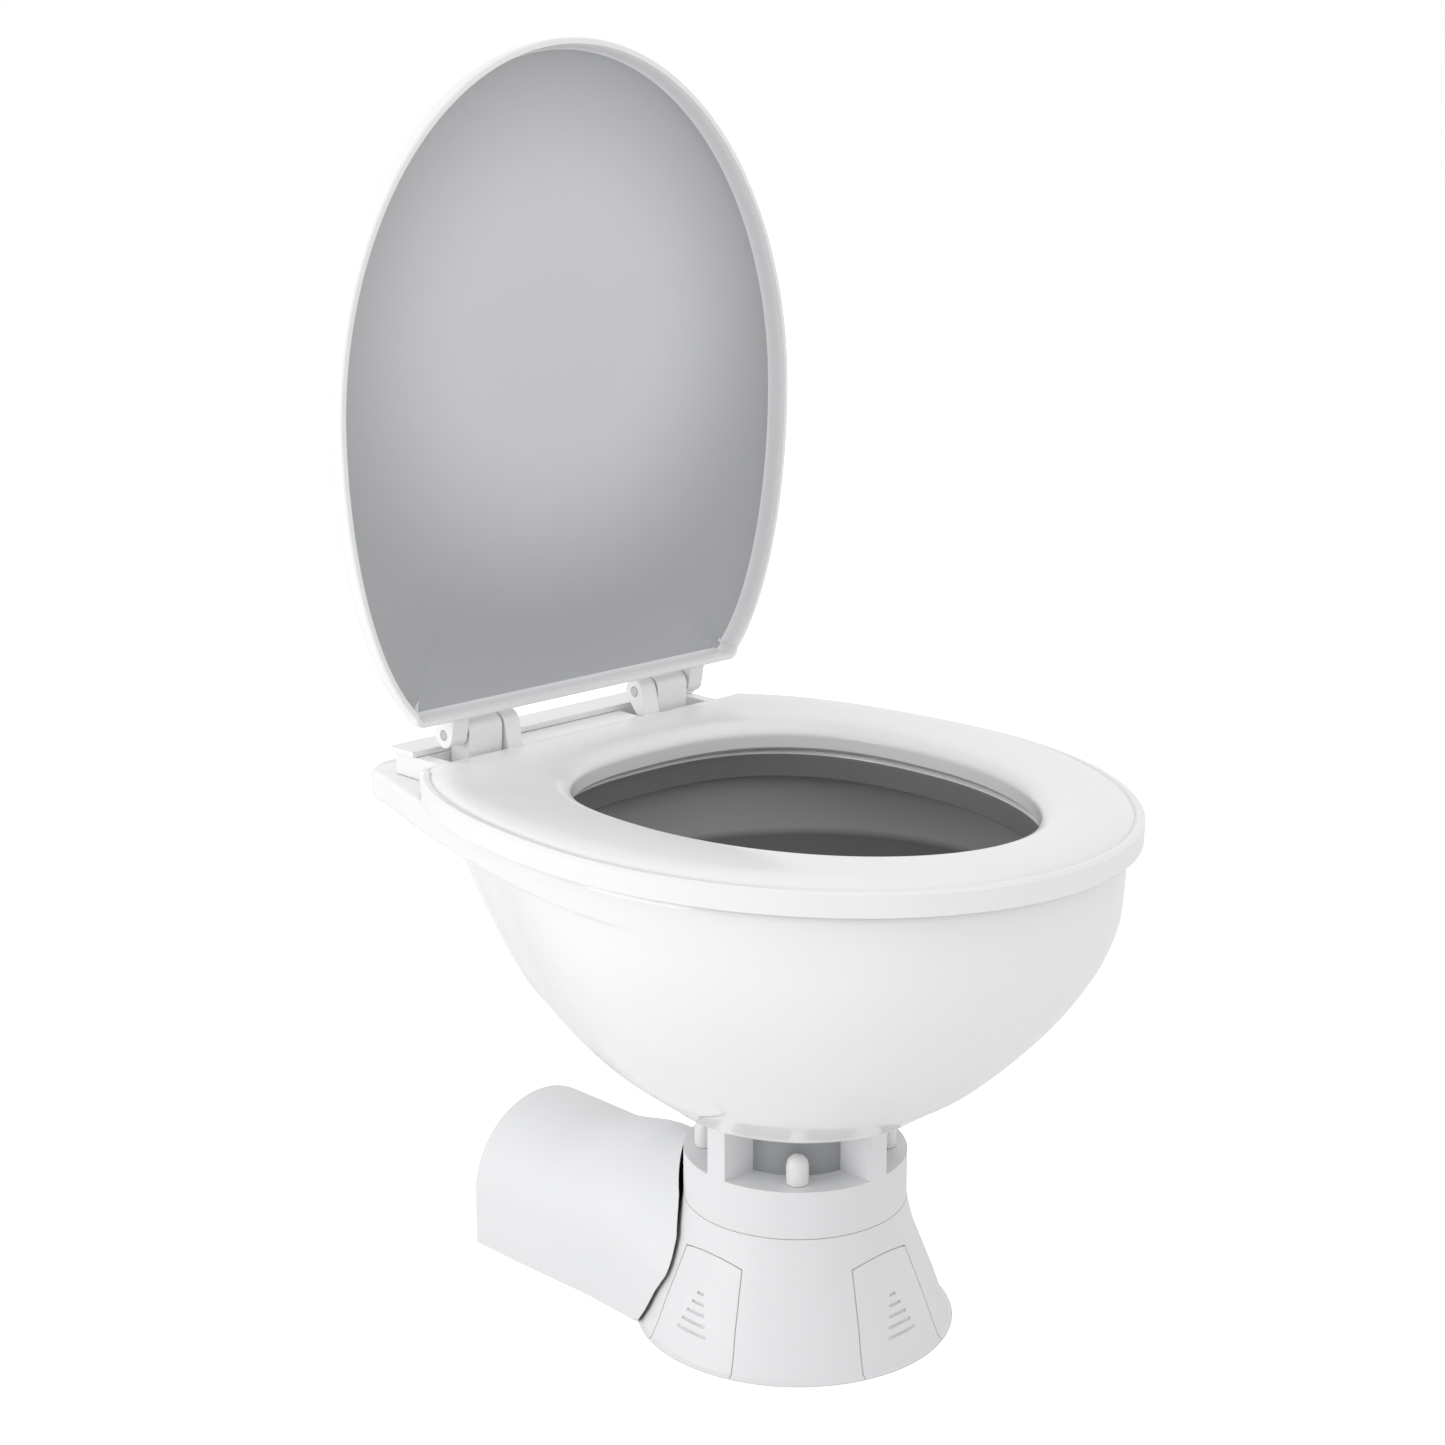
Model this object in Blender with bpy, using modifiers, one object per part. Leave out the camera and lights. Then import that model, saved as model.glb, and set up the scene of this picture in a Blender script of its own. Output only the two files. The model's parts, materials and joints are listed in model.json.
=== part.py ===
"""Electric marine toilet: ceramic bowl on a moulded pump base, with a rear motor
cover and a soft-close seat and lid.

Metres, +Z up. The origin lies on the floor, on the axis of the bowl outlet. The
front of the bowl points to -Y and the motor to +Y.
"""
from math import acos, atan2, cos, hypot, pi, radians, sin, sqrt

import bmesh
import bpy
from mathutils import Matrix, Vector

# Fits
FIT = 0.0003              # between touching pieces that stay put
RUNNING_FIT = 0.0006      # between pieces that move on each other
OVERRUN = 0.004           # how far a cutter passes the face that it cuts

WELD = 0.00001

# Seat, lid and rim, seen from above
WIDEST_Y = 0.0085         # where seat, lid and bowl are widest
SEAT_WIDTH = 0.368
SEAT_FRONT = 0.219        # from the widest line to the tip
SEAT_BACK_Y = 0.187
SEAT_SIDE_DEPTH = 0.1865  # how far behind the widest line the side would close
SEAT_SIDE_DROP = 0.077    # how far in the side would run there
HOLE_WIDTH = 0.236
HOLE_FRONT_RIM = 0.0555   # ring width at the tip
HOLE_BACK_Y = 0.127
HOLE_CENTRE_Y = 0.004
HOLE_REAR_POWER_SHARE = 2.6    # 2 is an ellipse; more is squarer

# Heights of the stack from the floor to the lid
FOOT_TOP_Z = 0.079
RING_HEIGHT = 0.030       # plain ring of the collar, up to the floor of the pockets
POCKET_HEIGHT = 0.029
BOWL_HEIGHT = 0.182
SEAT_BAND_GAP = 0.0012
SEAT_BAND = 0.0138        # outer edge of the seat
SEAT_RISE = 0.0052        # from the seat's shoulder to its crown
LID_GAP = 0.001
LID_DEPTH = 0.0275
COLLAR_FLOOR_Z = FOOT_TOP_Z + RING_HEIGHT
BOWL_FOOT_Z = COLLAR_FLOOR_Z + POCKET_HEIGHT
RIM_Z = BOWL_FOOT_Z + BOWL_HEIGHT
SEAT_BAND_Z = RIM_Z + SEAT_BAND_GAP
SEAT_SHOULDER_Z = SEAT_BAND_Z + SEAT_BAND
SEAT_CROWN_Z = SEAT_SHOULDER_Z + SEAT_RISE
LID_RIM_Z = SEAT_SHOULDER_Z + LID_GAP
LID_TOP_Z = LID_RIM_Z + LID_DEPTH

# Hinge axis of the seat and the lid, and its knuckles
HINGE_Y = 0.1975
HINGE_RISE = 0.0285       # above the ceramic rim
HINGE_Z = RIM_Z + HINGE_RISE
KNUCKLE_RADIUS = 0.008
HINGE_PIN_RADIUS = 0.003
PILLAR_X = 0.079          # middle of the pillar that holds a damper
PILLAR_LENGTH = 0.026
LUG_LENGTH = 0.012
SEAT_LUG_ROOT = 0.0085    # height of a seat lug where it leaves the seat's back
LID_LUG_ROOT = 0.012
LID_OPEN_ANGLE = radians(90)
SEAT_LUG_X = PILLAR_X - PILLAR_LENGTH / 2 - LUG_LENGTH / 2 - RUNNING_FIT * 3
LID_LUG_X = PILLAR_X + PILLAR_LENGTH / 2 + LUG_LENGTH / 2 + RUNNING_FIT * 3
DAMPER_RADIUS = 0.006
DAMPER_LENGTH = 0.021

# Hinge block on the deck
BLOCK_HALF_LENGTH = 0.117
BLOCK_FRONT_Y = 0.1885
BLOCK_BACK_Y = 0.231
BLOCK_HEIGHT = 0.014
BLOCK_TOP_Z = RIM_Z + BLOCK_HEIGHT
CAP_THICKNESS = 0.0035
CAP_OVERHANG = 0.0025
CAP_FRONT_Y = 0.2105
TONGUE_HEIGHT = 0.0025    # low part of the block under the lugs
TONGUE_Z = RIM_Z + TONGUE_HEIGHT
TONGUE_BACK_Y = 0.2095
DECK_BOLT_X = 0.075
DECK_BOLT_Y = 0.2205
DECK_BOLT_RADIUS = 0.004
DECK_HOLE_RADIUS = 0.0065
DECK_BOLT_HEAD_RADIUS = 0.0075
DECK_BOLT_HEAD_HEIGHT = 0.005
DECK_THICKNESS = 0.020    # at the washers
DECK_NUT_SEAT_Z = RIM_Z - DECK_THICKNESS
WASHER_RADIUS = 0.013
WASHER_THICKNESS = 0.003
WING_NUT_RADIUS = 0.0075
WING_NUT_HEIGHT = 0.009
WING_REACH = 0.019
WING_THICKNESS = 0.003

# Ceramic bowl
BOWL_HALF_WIDTH = 0.176
BOWL_FRONT = 0.2090       # from the widest line to the tip
DECK_BACK_Y = 0.262
DECK_BACK_HALF_WIDTH = 0.116
DECK_CORNER = 0.024
BOWL_FOOT_RADIUS = 0.062
OUTLET_RADIUS = 0.032
OPENING_HALF_WIDTH = 0.122
OPENING_FRONT = 0.161     # from the hole's centre line to the front of the opening
OPENING_REAR = 0.130
CAVITY_HALF_WIDTH = 0.160
CAVITY_FRONT = 0.192
CAVITY_REAR = 0.148
RIM_DEPTH = 0.018         # height of the rolled rim's inner face
OUTLET_LENGTH = 0.020
SUMP_Z = BOWL_FOOT_Z + OUTLET_LENGTH    # floor of the sump, where the outlet begins
RIM_ROUND = 0.003

# Rinse-water inlet at the back of the bowl
INLET_DEPTH = 0.040       # below the rim
INLET_Z = RIM_Z - INLET_DEPTH
INLET_BOSS_RADIUS = 0.019
INLET_SETBACK = 0.034     # from the back edge of the deck to the end of the boss
INLET_BOSS_END_Y = DECK_BACK_Y - INLET_SETBACK
INLET_BORE_RADIUS = 0.0125
INLET_BORE_DEPTH = 0.032
INLET_JET_RADIUS = 0.004
INLET_PIPE_RADIUS = 0.009
INLET_PIPE_BORE_RADIUS = 0.0065
GROMMET_FLANGE_RADIUS = 0.0165
GROMMET_FLANGE = 0.003
GROMMET_DEPTH = 0.018
INLET_BEND_RADIUS = 0.014
INLET_RUN = 0.012         # straight length before the bend
INLET_DROP = 0.034        # straight length after the bend

# Foot and collar of the base, turned about the outlet axis
FOOT_WALL = 0.003
FOOT_FLANGE = 0.003
FOOT_FLANGE_BORE = 0.046
RING_RADIUS = 0.068
FOOT_RADIUS = 0.0974
RING_WALL = 0.004
COLLAR_FLOOR = 0.008
COLLAR_BORE_RADIUS = 0.0405
COLLAR_TUBE_RADIUS = 0.0445
COLLAR_LIP = 0.0035        # how far the collar grips the ceramic foot ring
COLLAR_LIP_Z = BOWL_FOOT_Z + COLLAR_LIP
COLLAR_LIP_RADIUS = 0.0625
POST_WIDTH = 0.0145
TIE_CIRCLE_RADIUS = 0.0545
TIE_RADIUS = 0.003
TIE_HEAD_RADIUS = 0.0055
TIE_HEAD_HEIGHT = 0.004
NUT_RADIUS = 0.0068
NUT_HEIGHT = 0.018
BOWL_BOLT_DEPTH = 0.010   # how far it enters the ceramic ring
BASE_PLATE = 0.003

# Screw covers let into the foot
COVER_TOP_Z = 0.058
COVER_ARCH = 0.0035
COVER_TOP_HALF_WIDTH = 0.0230
COVER_FOOT_HALF_WIDTH = 0.0345
COVER_SEAM = 0.0005
GRIP_SLOT = 0.0016        # height and depth of a grip slot
GRIP_LOW_Z = 0.016
GRIP_PITCH = 0.0055
GRIP_LONGEST = 0.0235
GRIP_SHORTEST = 0.005
GRIP_COUNT = 5

# Motor cover, an arched hood offset to the left of the outlet axis
MOTOR_X = -0.026
HOOD_BACK_Y = 0.208
HOOD_HALF_WIDTH = 0.056
HOOD_SPRING_Z = 0.035     # where the straight walls turn into the arch
HOOD_TOP_Z = 0.091
HOOD_NECK_RISE = 0.0135
HOOD_NECK_TOP_Z = HOOD_TOP_Z + HOOD_NECK_RISE
HOOD_WALL = 0.0025
HOOD_FLARE_START_Y = 0.150
HOOD_FLARE_END_Y = 0.075
HOOD_NARROW_START_Y = 0.125
HOOD_NARROW_END_Y = 0.030
HOOD_DRAFT = 0.0045
HOOD_WAIST = 0.002
HOOD_SEAM = 0.0020
HOOD_POWER_SHARE = 2.0       # 2 is a half round arch
HOOD_NECK_POWER_SHARE = 1.3  # and less is a steeper gable

# Pump and motor on one horizontal axis
PUMP_Z = 0.041
MOTOR_RADIUS = 0.035
MOTOR_FRONT_Y = 0.104
MOTOR_BACK_Y = 0.184
MOTOR_CAP_LENGTH = 0.016
BRACKET_FRONT_Y = 0.0605
BRACKET_RADIUS = 0.030
BRACKET_PLATE = 0.006
SHAFT_RADIUS = 0.004
SHAFT_FRONT_Y = -0.012
SHAFT_BACK_Y = 0.196
HOUSING_RADIUS = 0.031
HOUSING_BORE_RADIUS = 0.027
HOUSING_FRONT_Y = -0.038
HOUSING_BACK_Y = 0.060
HOUSING_BACK_WALL = 0.008
FRONT_PLATE = 0.004
NECK_RADIUS = 0.036
NECK_BORE_RADIUS = 0.027
GASKET_HEIGHT = 0.0095     # squeezed between pump and bowl
NECK_TOP_Z = BOWL_FOOT_Z - GASKET_HEIGHT
NECK_LOW_Z = 0.047
NECK_FLOOR = 0.004
GASKET_RADIUS = 0.0395
IMPELLER_FRONT_Y = 0.026
IMPELLER_BACK_Y = 0.046
IMPELLER_RADIUS = 0.0255
IMPELLER_HUB_RADIUS = 0.009
VANE_COUNT = 6
VANE_TURN_SHARE = 0.3
VANE_THICKNESS = 0.0025
CHOPPER_Y = 0.016
CHOPPER_PLATE = 0.004
CHOPPER_HOLE_RADIUS = 0.0055
CHOPPER_HOLES = 6
CHOPPER_TURN_SHARE = 0.3
CHOPPER_RING_SHARE = 0.6
BLADE_Y = 0.005
BLADE_THICKNESS = 0.004
BLADE_REACH = 0.023
BLADE_WIDTH = 0.012
BLADE_HUB_RADIUS = 0.008
SEAL_RADIUS = 0.010

NOTCH_RADIUS = HOUSING_RADIUS + RUNNING_FIT * 3   # the foot's way round the pump

# Discharge at the right of the hood
DISCHARGE_X = 0.058
DISCHARGE_DUCT_Y = 0.044
DISCHARGE_DUCT_RADIUS = 0.013
DISCHARGE_RADIUS = 0.016
DISCHARGE_BORE_RADIUS = 0.011
DISCHARGE_START_Y = 0.030
DISCHARGE_END_Y = 0.098
VALVE_FLANGE = 0.002
VALVE_LENGTH = 0.014
VALVE_ROOT_RADIUS = 0.0085
VALVE_TIP_RADIUS = 0.004
ELBOW_RADIUS = 0.0130
ELBOW_BORE_RADIUS = 0.0100
ELBOW_FLANGE_RADIUS = 0.017
ELBOW_FLANGE = 0.005
ELBOW_RUN = 0.020
ELBOW_BEND_RADIUS = 0.020
ELBOW_REACH = 0.036
BARB_HEIGHT = 0.0012
BARB_PITCH = 0.008
BARB_COUNT = 3
BARB_SLOPE_SHARE = 0.75
WALL_STEP = 0.0006         # by which one moulded surface stands proud of the next
UNION_NUT_RADIUS = 0.0215
UNION_NUT_LENGTH = 0.016

# Seat section
SEAT_WALL = 0.0035
SEAT_SHOULDER = 0.006     # width of the ledge that carries the lid
SEAT_HOLE_ROUND = 0.012
SEAT_CROWN_SHARE = 0.5    # way from the outline to the hole
PAD_LENGTH = 0.026
PAD_WIDTH = 0.015
PAD_HEIGHT = 0.0036
PAD_FRAME = 0.003         # moulded rim round a pad
REAR_PAD_ANGLE = radians(26)    # towards the back, from the hole's centre
FRONT_PAD_ANGLE = radians(-50)

# Lid section
LID_INSET = 0.0015        # how far the lid's rim lies inside the seat's sides
LID_NOSE = 0.0030         # how far it runs past the seat's tip
LID_WALL = 0.0035

# Faceting
SMOOTH_ANGLE = radians(32)
PIPE_RESOLUTION = 3
FRONT_STEPS = 10
SIDE_STEPS = 7
CORNER_STEPS = 2
BACK_STEPS = 3
ROUND_STEPS = 16             # every count of steps is a multiple of four
SMALL_ROUND_STEPS = 8
FINE_ROUND_STEPS = 32
HOOD_STEPS = 12

# Shares of the bowl's growth from its foot to its rim: height, front, back
BOWL_GROWTH_SHARES = (
    (0.000, 0.000, 0.000),
    (0.022, 0.000, 0.000),
    (0.042, 0.150, 0.110),
    (0.070, 0.205, 0.180),
    (0.115, 0.293, 0.284),
    (0.176, 0.410, 0.395),
    (0.250, 0.521, 0.485),
    (0.341, 0.642, 0.550),
    (0.440, 0.759, 0.600),
    (0.544, 0.859, 0.648),
    (0.659, 0.944, 0.694),
    (0.769, 0.989, 0.732),
    (0.877, 1.000, 0.765),
    (0.890, 1.000, 0.965),
    (0.910, 1.000, 1.000),
)
# Shares of the cavity's growth from the outlet to the rim: height, reach
CAVITY_GROWTH_SHARES = (
    (0.990, 1.000),
    (0.800, 0.985),
    (0.560, 0.890),
    (0.370, 0.725),
    (0.220, 0.520),
    (0.140, 0.350),
    (0.040, 0.160),
    (0.000, 0.000),
)
DECK_TAPER_POWER_SHARE = 1.6
# Lid section: way to the middle, drop as a share of the lid's depth
LID_CROWN_SHARES = ((0.94, 0.00), (0.50, 0.025), (0.24, 0.07))
# Inward as a share of the depth, drop as a share of the depth
LID_SIDE_SHARES = ((0.55, 0.20), (0.20, 0.38), (0.04, 0.60), (0.00, 0.82))
LID_INNER_SHARES = ((0.00, 0.90), (0.06, 0.60), (0.30, 0.40))
# Foot profile: radius as a share of the flare, height as a share of the foot
FOOT_FLARE_SHARES = (
    (0.00, 1.00), (0.02, 0.91), (0.13, 0.785), (0.31, 0.62), (0.75, 0.155),
    (0.93, 0.038), (1.00, 0.006),
)


def clear_scene():
    for item in list(bpy.data.objects):
        bpy.data.objects.remove(item, do_unlink=True)
    for group in list(bpy.data.collections):
        bpy.data.collections.remove(group)


def make_collection(name):
    group = bpy.data.collections.new(name)
    bpy.context.scene.collection.children.link(group)
    return group


def make_material(name, colour, roughness, metallic=0.0):
    material = bpy.data.materials.new(name)
    material.use_nodes = True
    shader = material.node_tree.nodes["Principled BSDF"]
    shader.inputs["Base Color"].default_value = (*colour, 1.0)
    shader.inputs["Roughness"].default_value = roughness
    shader.inputs["Metallic"].default_value = metallic
    material.diffuse_color = (*colour, 1.0)
    return material


clear_scene()
PARTS = make_collection("electric_marine_toilet")
CUTTERS = make_collection("cutters")
CERAMIC = make_material("glazed ceramic", (0.90, 0.90, 0.90), 0.08)
GLOSS_WHITE = make_material("gloss white plastic", (0.90, 0.90, 0.91), 0.22)
BASE_WHITE = make_material("moulded white plastic", (0.80, 0.81, 0.82), 0.35)
LID_WHITE = make_material("lid plastic", (0.86, 0.87, 0.88), 0.25)
RUBBER = make_material("black rubber", (0.03, 0.03, 0.03), 0.8)
PAD_RUBBER = make_material("pad rubber", (0.55, 0.56, 0.57), 0.7)
STEEL = make_material("stainless steel", (0.62, 0.62, 0.63), 0.25, 1.0)
MOTOR_PAINT = make_material("motor paint", (0.75, 0.76, 0.77), 0.4)
PUMP_PLASTIC = make_material("pump plastic", (0.05, 0.05, 0.055), 0.5)
PALE_PLASTIC = make_material("pale fitting plastic", (0.80, 0.81, 0.82), 0.4)


# Building blocks


def place(name, mesh, material=None, parent=None, where=Matrix.Identity(4)):
    """Puts a mesh in the model, or among the cutters if it has no material."""
    thing = bpy.data.objects.new(name, mesh)
    if material is None:
        CUTTERS.objects.link(thing)
        thing.hide_render = True
        thing.display_type = "WIRE"
    else:
        PARTS.objects.link(thing)
        mesh.materials.clear()
        mesh.materials.append(material)
        mesh.shade_smooth()
        mesh.set_sharp_from_angle(angle=SMOOTH_ANGLE)
    thing.matrix_world = where
    if parent is not None:
        ride(thing, parent)
    return thing


def ride(thing, parent):
    """Makes a shape, and whatever is cut from it, move with a pivot."""
    where = thing.matrix_world.copy()
    thing.parent = parent
    thing.matrix_parent_inverse = parent.matrix_world.inverted()
    thing.matrix_world = where
    for change in thing.modifiers:
        if change.type == "BOOLEAN":
            ride(change.object, parent)


def pivot(name, position):
    """An empty that lies on a joint's axis."""
    empty = bpy.data.objects.new(name, None)
    empty.location = position
    empty.empty_display_size = KNUCKLE_RADIUS
    PARTS.objects.link(empty)
    bpy.context.view_layer.update()
    return empty


def finish_mesh(shape, name):
    bmesh.ops.recalc_face_normals(shape, faces=shape.faces)
    mesh = bpy.data.meshes.new(name)
    shape.to_mesh(mesh)
    shape.free()
    return mesh


def evaluated_mesh(thing):
    """The welded mesh that an object's curve or modifier makes; the object goes."""
    bpy.context.view_layer.update()
    graph = bpy.context.evaluated_depsgraph_get()
    mesh = bpy.data.meshes.new_from_object(thing.evaluated_get(graph))
    bpy.data.objects.remove(thing, do_unlink=True)
    shape = bmesh.new()
    shape.from_mesh(mesh)
    bmesh.ops.remove_doubles(shape, verts=shape.verts, dist=WELD)
    bmesh.ops.recalc_face_normals(shape, faces=shape.faces)
    shape.to_mesh(mesh)
    shape.free()
    return mesh


AXIS_TURNS = {
    "Z": Matrix.Identity(4),
    "Y": Matrix.Rotation(-pi / 2, 4, "X"),   # local Z runs along +Y
    "X": Matrix.Rotation(pi / 2, 4, "Y"),    # local Z runs along +X
}


def turned(name, profile, material=None, parent=None, axis="Z", centre=(0, 0, 0),
           steps=ROUND_STEPS):
    """A body turned from (radius, height) pairs, listed from its top down."""
    mesh = bpy.data.meshes.new(name)
    points = [(radius, 0, height) for radius, height in profile]
    count = len(points)
    edges = [(i, i + 1) for i in range(count - 1)]
    if profile[0][0] > 0:
        edges.append((count - 1, 0))
    mesh.from_pydata(points, edges, [])
    thing = bpy.data.objects.new(name, mesh)
    bpy.context.scene.collection.objects.link(thing)
    screw = thing.modifiers.new("turn", "SCREW")
    screw.steps = steps
    screw.render_steps = steps
    screw.use_merge_vertices = True
    screw.merge_threshold = WELD
    where = Matrix.Translation(centre) @ AXIS_TURNS[axis]
    return place(name, evaluated_mesh(thing), material, parent, where)


def ring_profile(inner, outer, low, high):
    return ((inner, high), (outer, high), (outer, low), (inner, low))


def rod(name, radius, low, high, material=None, parent=None, axis="Z", centre=(0, 0, 0),
        steps=ROUND_STEPS):
    """A cylinder between two stations on its axis."""
    shape = bmesh.new()
    bmesh.ops.create_cone(shape, cap_ends=True, segments=steps, radius1=radius,
                          radius2=radius, depth=high - low)
    where = (Matrix.Translation(centre) @ AXIS_TURNS[axis]
             @ Matrix.Translation((0, 0, (low + high) / 2)))
    return place(name, finish_mesh(shape, name), material, parent, where)


def box(name, low, high, material=None, parent=None, where=Matrix.Identity(4)):
    """A box between two corners."""
    low, high = Vector(low), Vector(high)
    shape = bmesh.new()
    bmesh.ops.create_cube(shape, size=1, matrix=Matrix.Diagonal((*(high - low), 1)))
    where = where @ Matrix.Translation((low + high) / 2)
    return place(name, finish_mesh(shape, name), material, parent, where)


PLATE_TURNS = {
    "XY": Matrix.Identity(4),                # outline in X and Y, thickness along Z
    "XZ": Matrix.Rotation(pi / 2, 4, "X"),   # outline in X and Z, thickness along Y
    "YZ": Matrix.Rotation(pi / 2, 4, "Z") @ Matrix.Rotation(pi / 2, 4, "X"),
}


def plate(name, outline, low, high, plane="XY", material=None, parent=None):
    """A flat outline given a thickness from low to high across its plane."""
    curve = bpy.data.curves.new(name, "CURVE")
    curve.dimensions = "2D"
    curve.fill_mode = "BOTH"
    curve.extrude = (high - low) / 2
    line = curve.splines.new("POLY")
    line.points.add(len(outline) - 1)
    for point, (across, up) in zip(line.points, outline):
        point.co = (across, up, 0, 1)
    line.use_cyclic_u = True
    thing = bpy.data.objects.new(name, curve)
    bpy.context.scene.collection.objects.link(thing)
    middle = (low + high) / 2
    offsets = {"XY": (0, 0, middle), "XZ": (0, middle, 0), "YZ": (middle, 0, 0)}
    where = Matrix.Translation(offsets[plane]) @ PLATE_TURNS[plane]
    return place(name, evaluated_mesh(thing), material, parent, where)


def pipe(name, path, radius, material=None, parent=None):
    """A round bar that follows a path of points."""
    curve = bpy.data.curves.new(name, "CURVE")
    curve.dimensions = "3D"
    curve.bevel_depth = radius
    curve.bevel_resolution = PIPE_RESOLUTION
    curve.use_fill_caps = True
    line = curve.splines.new("POLY")
    line.points.add(len(path) - 1)
    for point, position in zip(line.points, path):
        point.co = (*position, 1)
    thing = bpy.data.objects.new(name, curve)
    bpy.context.scene.collection.objects.link(thing)
    return place(name, evaluated_mesh(thing), material, parent)


def loft(name, rings, material=None, parent=None, closed=False):
    """A skin through rings of equally many points, closed on itself or capped."""
    shape = bmesh.new()
    loops = [[shape.verts.new(point) for point in ring] for ring in rings]
    pairs = list(zip(loops, loops[1:]))
    if closed:
        pairs.append((loops[-1], loops[0]))
    count = len(loops[0])
    for near, far in pairs:
        for i in range(count):
            j = (i + 1) % count
            shape.faces.new((near[i], near[j], far[j], far[i]))
    if not closed:
        shape.faces.new(loops[0])
        shape.faces.new(loops[-1])
    return place(name, finish_mesh(shape, name), material, parent)


def to_cutter(thing):
    for group in list(thing.users_collection):
        group.objects.unlink(thing)
    CUTTERS.objects.link(thing)
    thing.hide_render = True
    thing.display_type = "WIRE"


def combine(body, others, operation):
    for other in others:
        to_cutter(other)
        if body.parent is not None:
            ride(other, body.parent)
        change = body.modifiers.new(other.name, "BOOLEAN")
        change.operation = operation
        change.object = other
    return body


def cut(body, *others):
    return combine(body, others, "DIFFERENCE")


def join(body, *others):
    return combine(body, others, "UNION")


def keep(body, *others):
    return combine(body, others, "INTERSECT")


def smooth_step(value):
    value = min(max(value, 0), 1)
    return value * value * (3 - 2 * value)


def blend(start, end, share):
    return start + (end - start) * share


def hull(points):
    """Corners of the smallest convex outline round some points."""
    points = sorted(set(points))

    def chain(row):
        line = []
        for p in row:
            while len(line) > 1 and turn_of(line[-2], line[-1], p) <= 0:
                line.pop()
            line.append(p)
        return line[:-1]

    def turn_of(a, b, c):
        return (b[0] - a[0]) * (c[1] - a[1]) - (b[1] - a[1]) * (c[0] - a[0])

    return chain(points) + chain(points[::-1])


def circle(centre, radius, steps=ROUND_STEPS):
    return [(centre[0] + radius * cos(2 * pi * i / steps),
             centre[1] + radius * sin(2 * pi * i / steps)) for i in range(steps)]


# Outlines seen from above


def plan(side, front, back_y, corner):
    """A closed outline from its tip (-Y), out along +X and round to -X.

    side(y) gives the half width behind the widest line.
    """
    half = []
    for i in range(FRONT_STEPS):
        turn = pi / 2 * i / FRONT_STEPS
        half.append((side(WIDEST_Y) * sin(turn), WIDEST_Y - front * cos(turn)))
    side_end_y = back_y - corner
    for i in range(SIDE_STEPS):
        y = blend(WIDEST_Y, side_end_y, i / SIDE_STEPS)
        half.append((side(y), y))
    end_x = side(side_end_y)
    for i in range(CORNER_STEPS):
        turn = pi / 2 * i / CORNER_STEPS
        half.append((end_x - corner * (1 - cos(turn)), side_end_y + corner * sin(turn)))
    for i in range(BACK_STEPS):
        half.append(((end_x - corner) * (1 - i / BACK_STEPS), back_y))
    half.append((0, back_y))
    return half + [(-x, y) for x, y in reversed(half[1:-1])]


def seat_side(y):
    depth = (y - WIDEST_Y) / SEAT_SIDE_DEPTH
    return SEAT_WIDTH / 2 - SEAT_SIDE_DROP * (1 - sqrt(max(1 - depth * depth, 0)))


def deck_side(y):
    depth = (y - WIDEST_Y) / (DECK_BACK_Y - WIDEST_Y)
    taper = BOWL_HALF_WIDTH - DECK_BACK_HALF_WIDTH
    return BOWL_HALF_WIDTH - taper * depth ** DECK_TAPER_POWER_SHARE


def oval(outline, half_width, front, rear, rear_power_share=2):
    """The points of an oval that lie in the same directions as an outline's."""
    points = []
    for x, y in outline:
        reach_y = y - HOLE_CENTRE_Y
        depth, power = (front, 2) if reach_y < 0 else (rear, rear_power_share)
        size = (abs(x / half_width) ** power + abs(reach_y / depth) ** power) ** (1 / power)
        points.append((x / size, HOLE_CENTRE_Y + reach_y / size))
    return points


def towards(start, end, distance):
    """A point at a distance from start on the way to end."""
    length = hypot(end[0] - start[0], end[1] - start[1])
    share = distance / length
    return (blend(start[0], end[0], share), blend(start[1], end[1], share))


def inset(outline, inside, distance):
    """An outline drawn in by a distance, with its straight back edge kept straight."""
    back = max(y for _, y in outline)
    ring = []
    for a, b in zip(outline, inside):
        if back - a[1] < WELD:
            ring.append(between(a, b, distance / (a[1] - b[1])))
        else:
            ring.append(towards(a, b, distance))
    return ring


def between(start, end, share):
    return (blend(start[0], end[0], share), blend(start[1], end[1], share))


SEAT_OUTLINE = plan(seat_side, SEAT_FRONT, SEAT_BACK_Y, SEAT_SHOULDER)
HOLE_FRONT = HOLE_CENTRE_Y - (WIDEST_Y - SEAT_FRONT + HOLE_FRONT_RIM)
HOLE_REAR = HOLE_BACK_Y - HOLE_CENTRE_Y
HOLE_OUTLINE = oval(SEAT_OUTLINE, HOLE_WIDTH / 2, HOLE_FRONT, HOLE_REAR,
                    HOLE_REAR_POWER_SHARE)
DECK_OUTLINE = plan(deck_side, BOWL_FRONT, DECK_BACK_Y, DECK_CORNER)


# Ceramic bowl


def bowl_ring(height_share, front_share, back_share, inset=0):
    """An outer ring of the bowl between its foot and its rim."""
    z = blend(BOWL_FOOT_Z, RIM_Z, height_share)
    ring = []
    for x, y in DECK_OUTLINE:
        reach = hypot(x, y)
        rearward = smooth_step((y + BOWL_FOOT_RADIUS) / (SEAT_BACK_Y + BOWL_FOOT_RADIUS))
        growth = blend(front_share, back_share, rearward)
        radius = blend(BOWL_FOOT_RADIUS, reach, growth) - inset
        ring.append((x / reach * radius, y / reach * radius, z))
    return ring


def level(outline, z):
    return [(x, y, z) for x, y in outline]


def round_ring(radius, z):
    return [(x / hypot(x, y) * radius, y / hypot(x, y) * radius, z) for x, y in DECK_OUTLINE]


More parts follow.
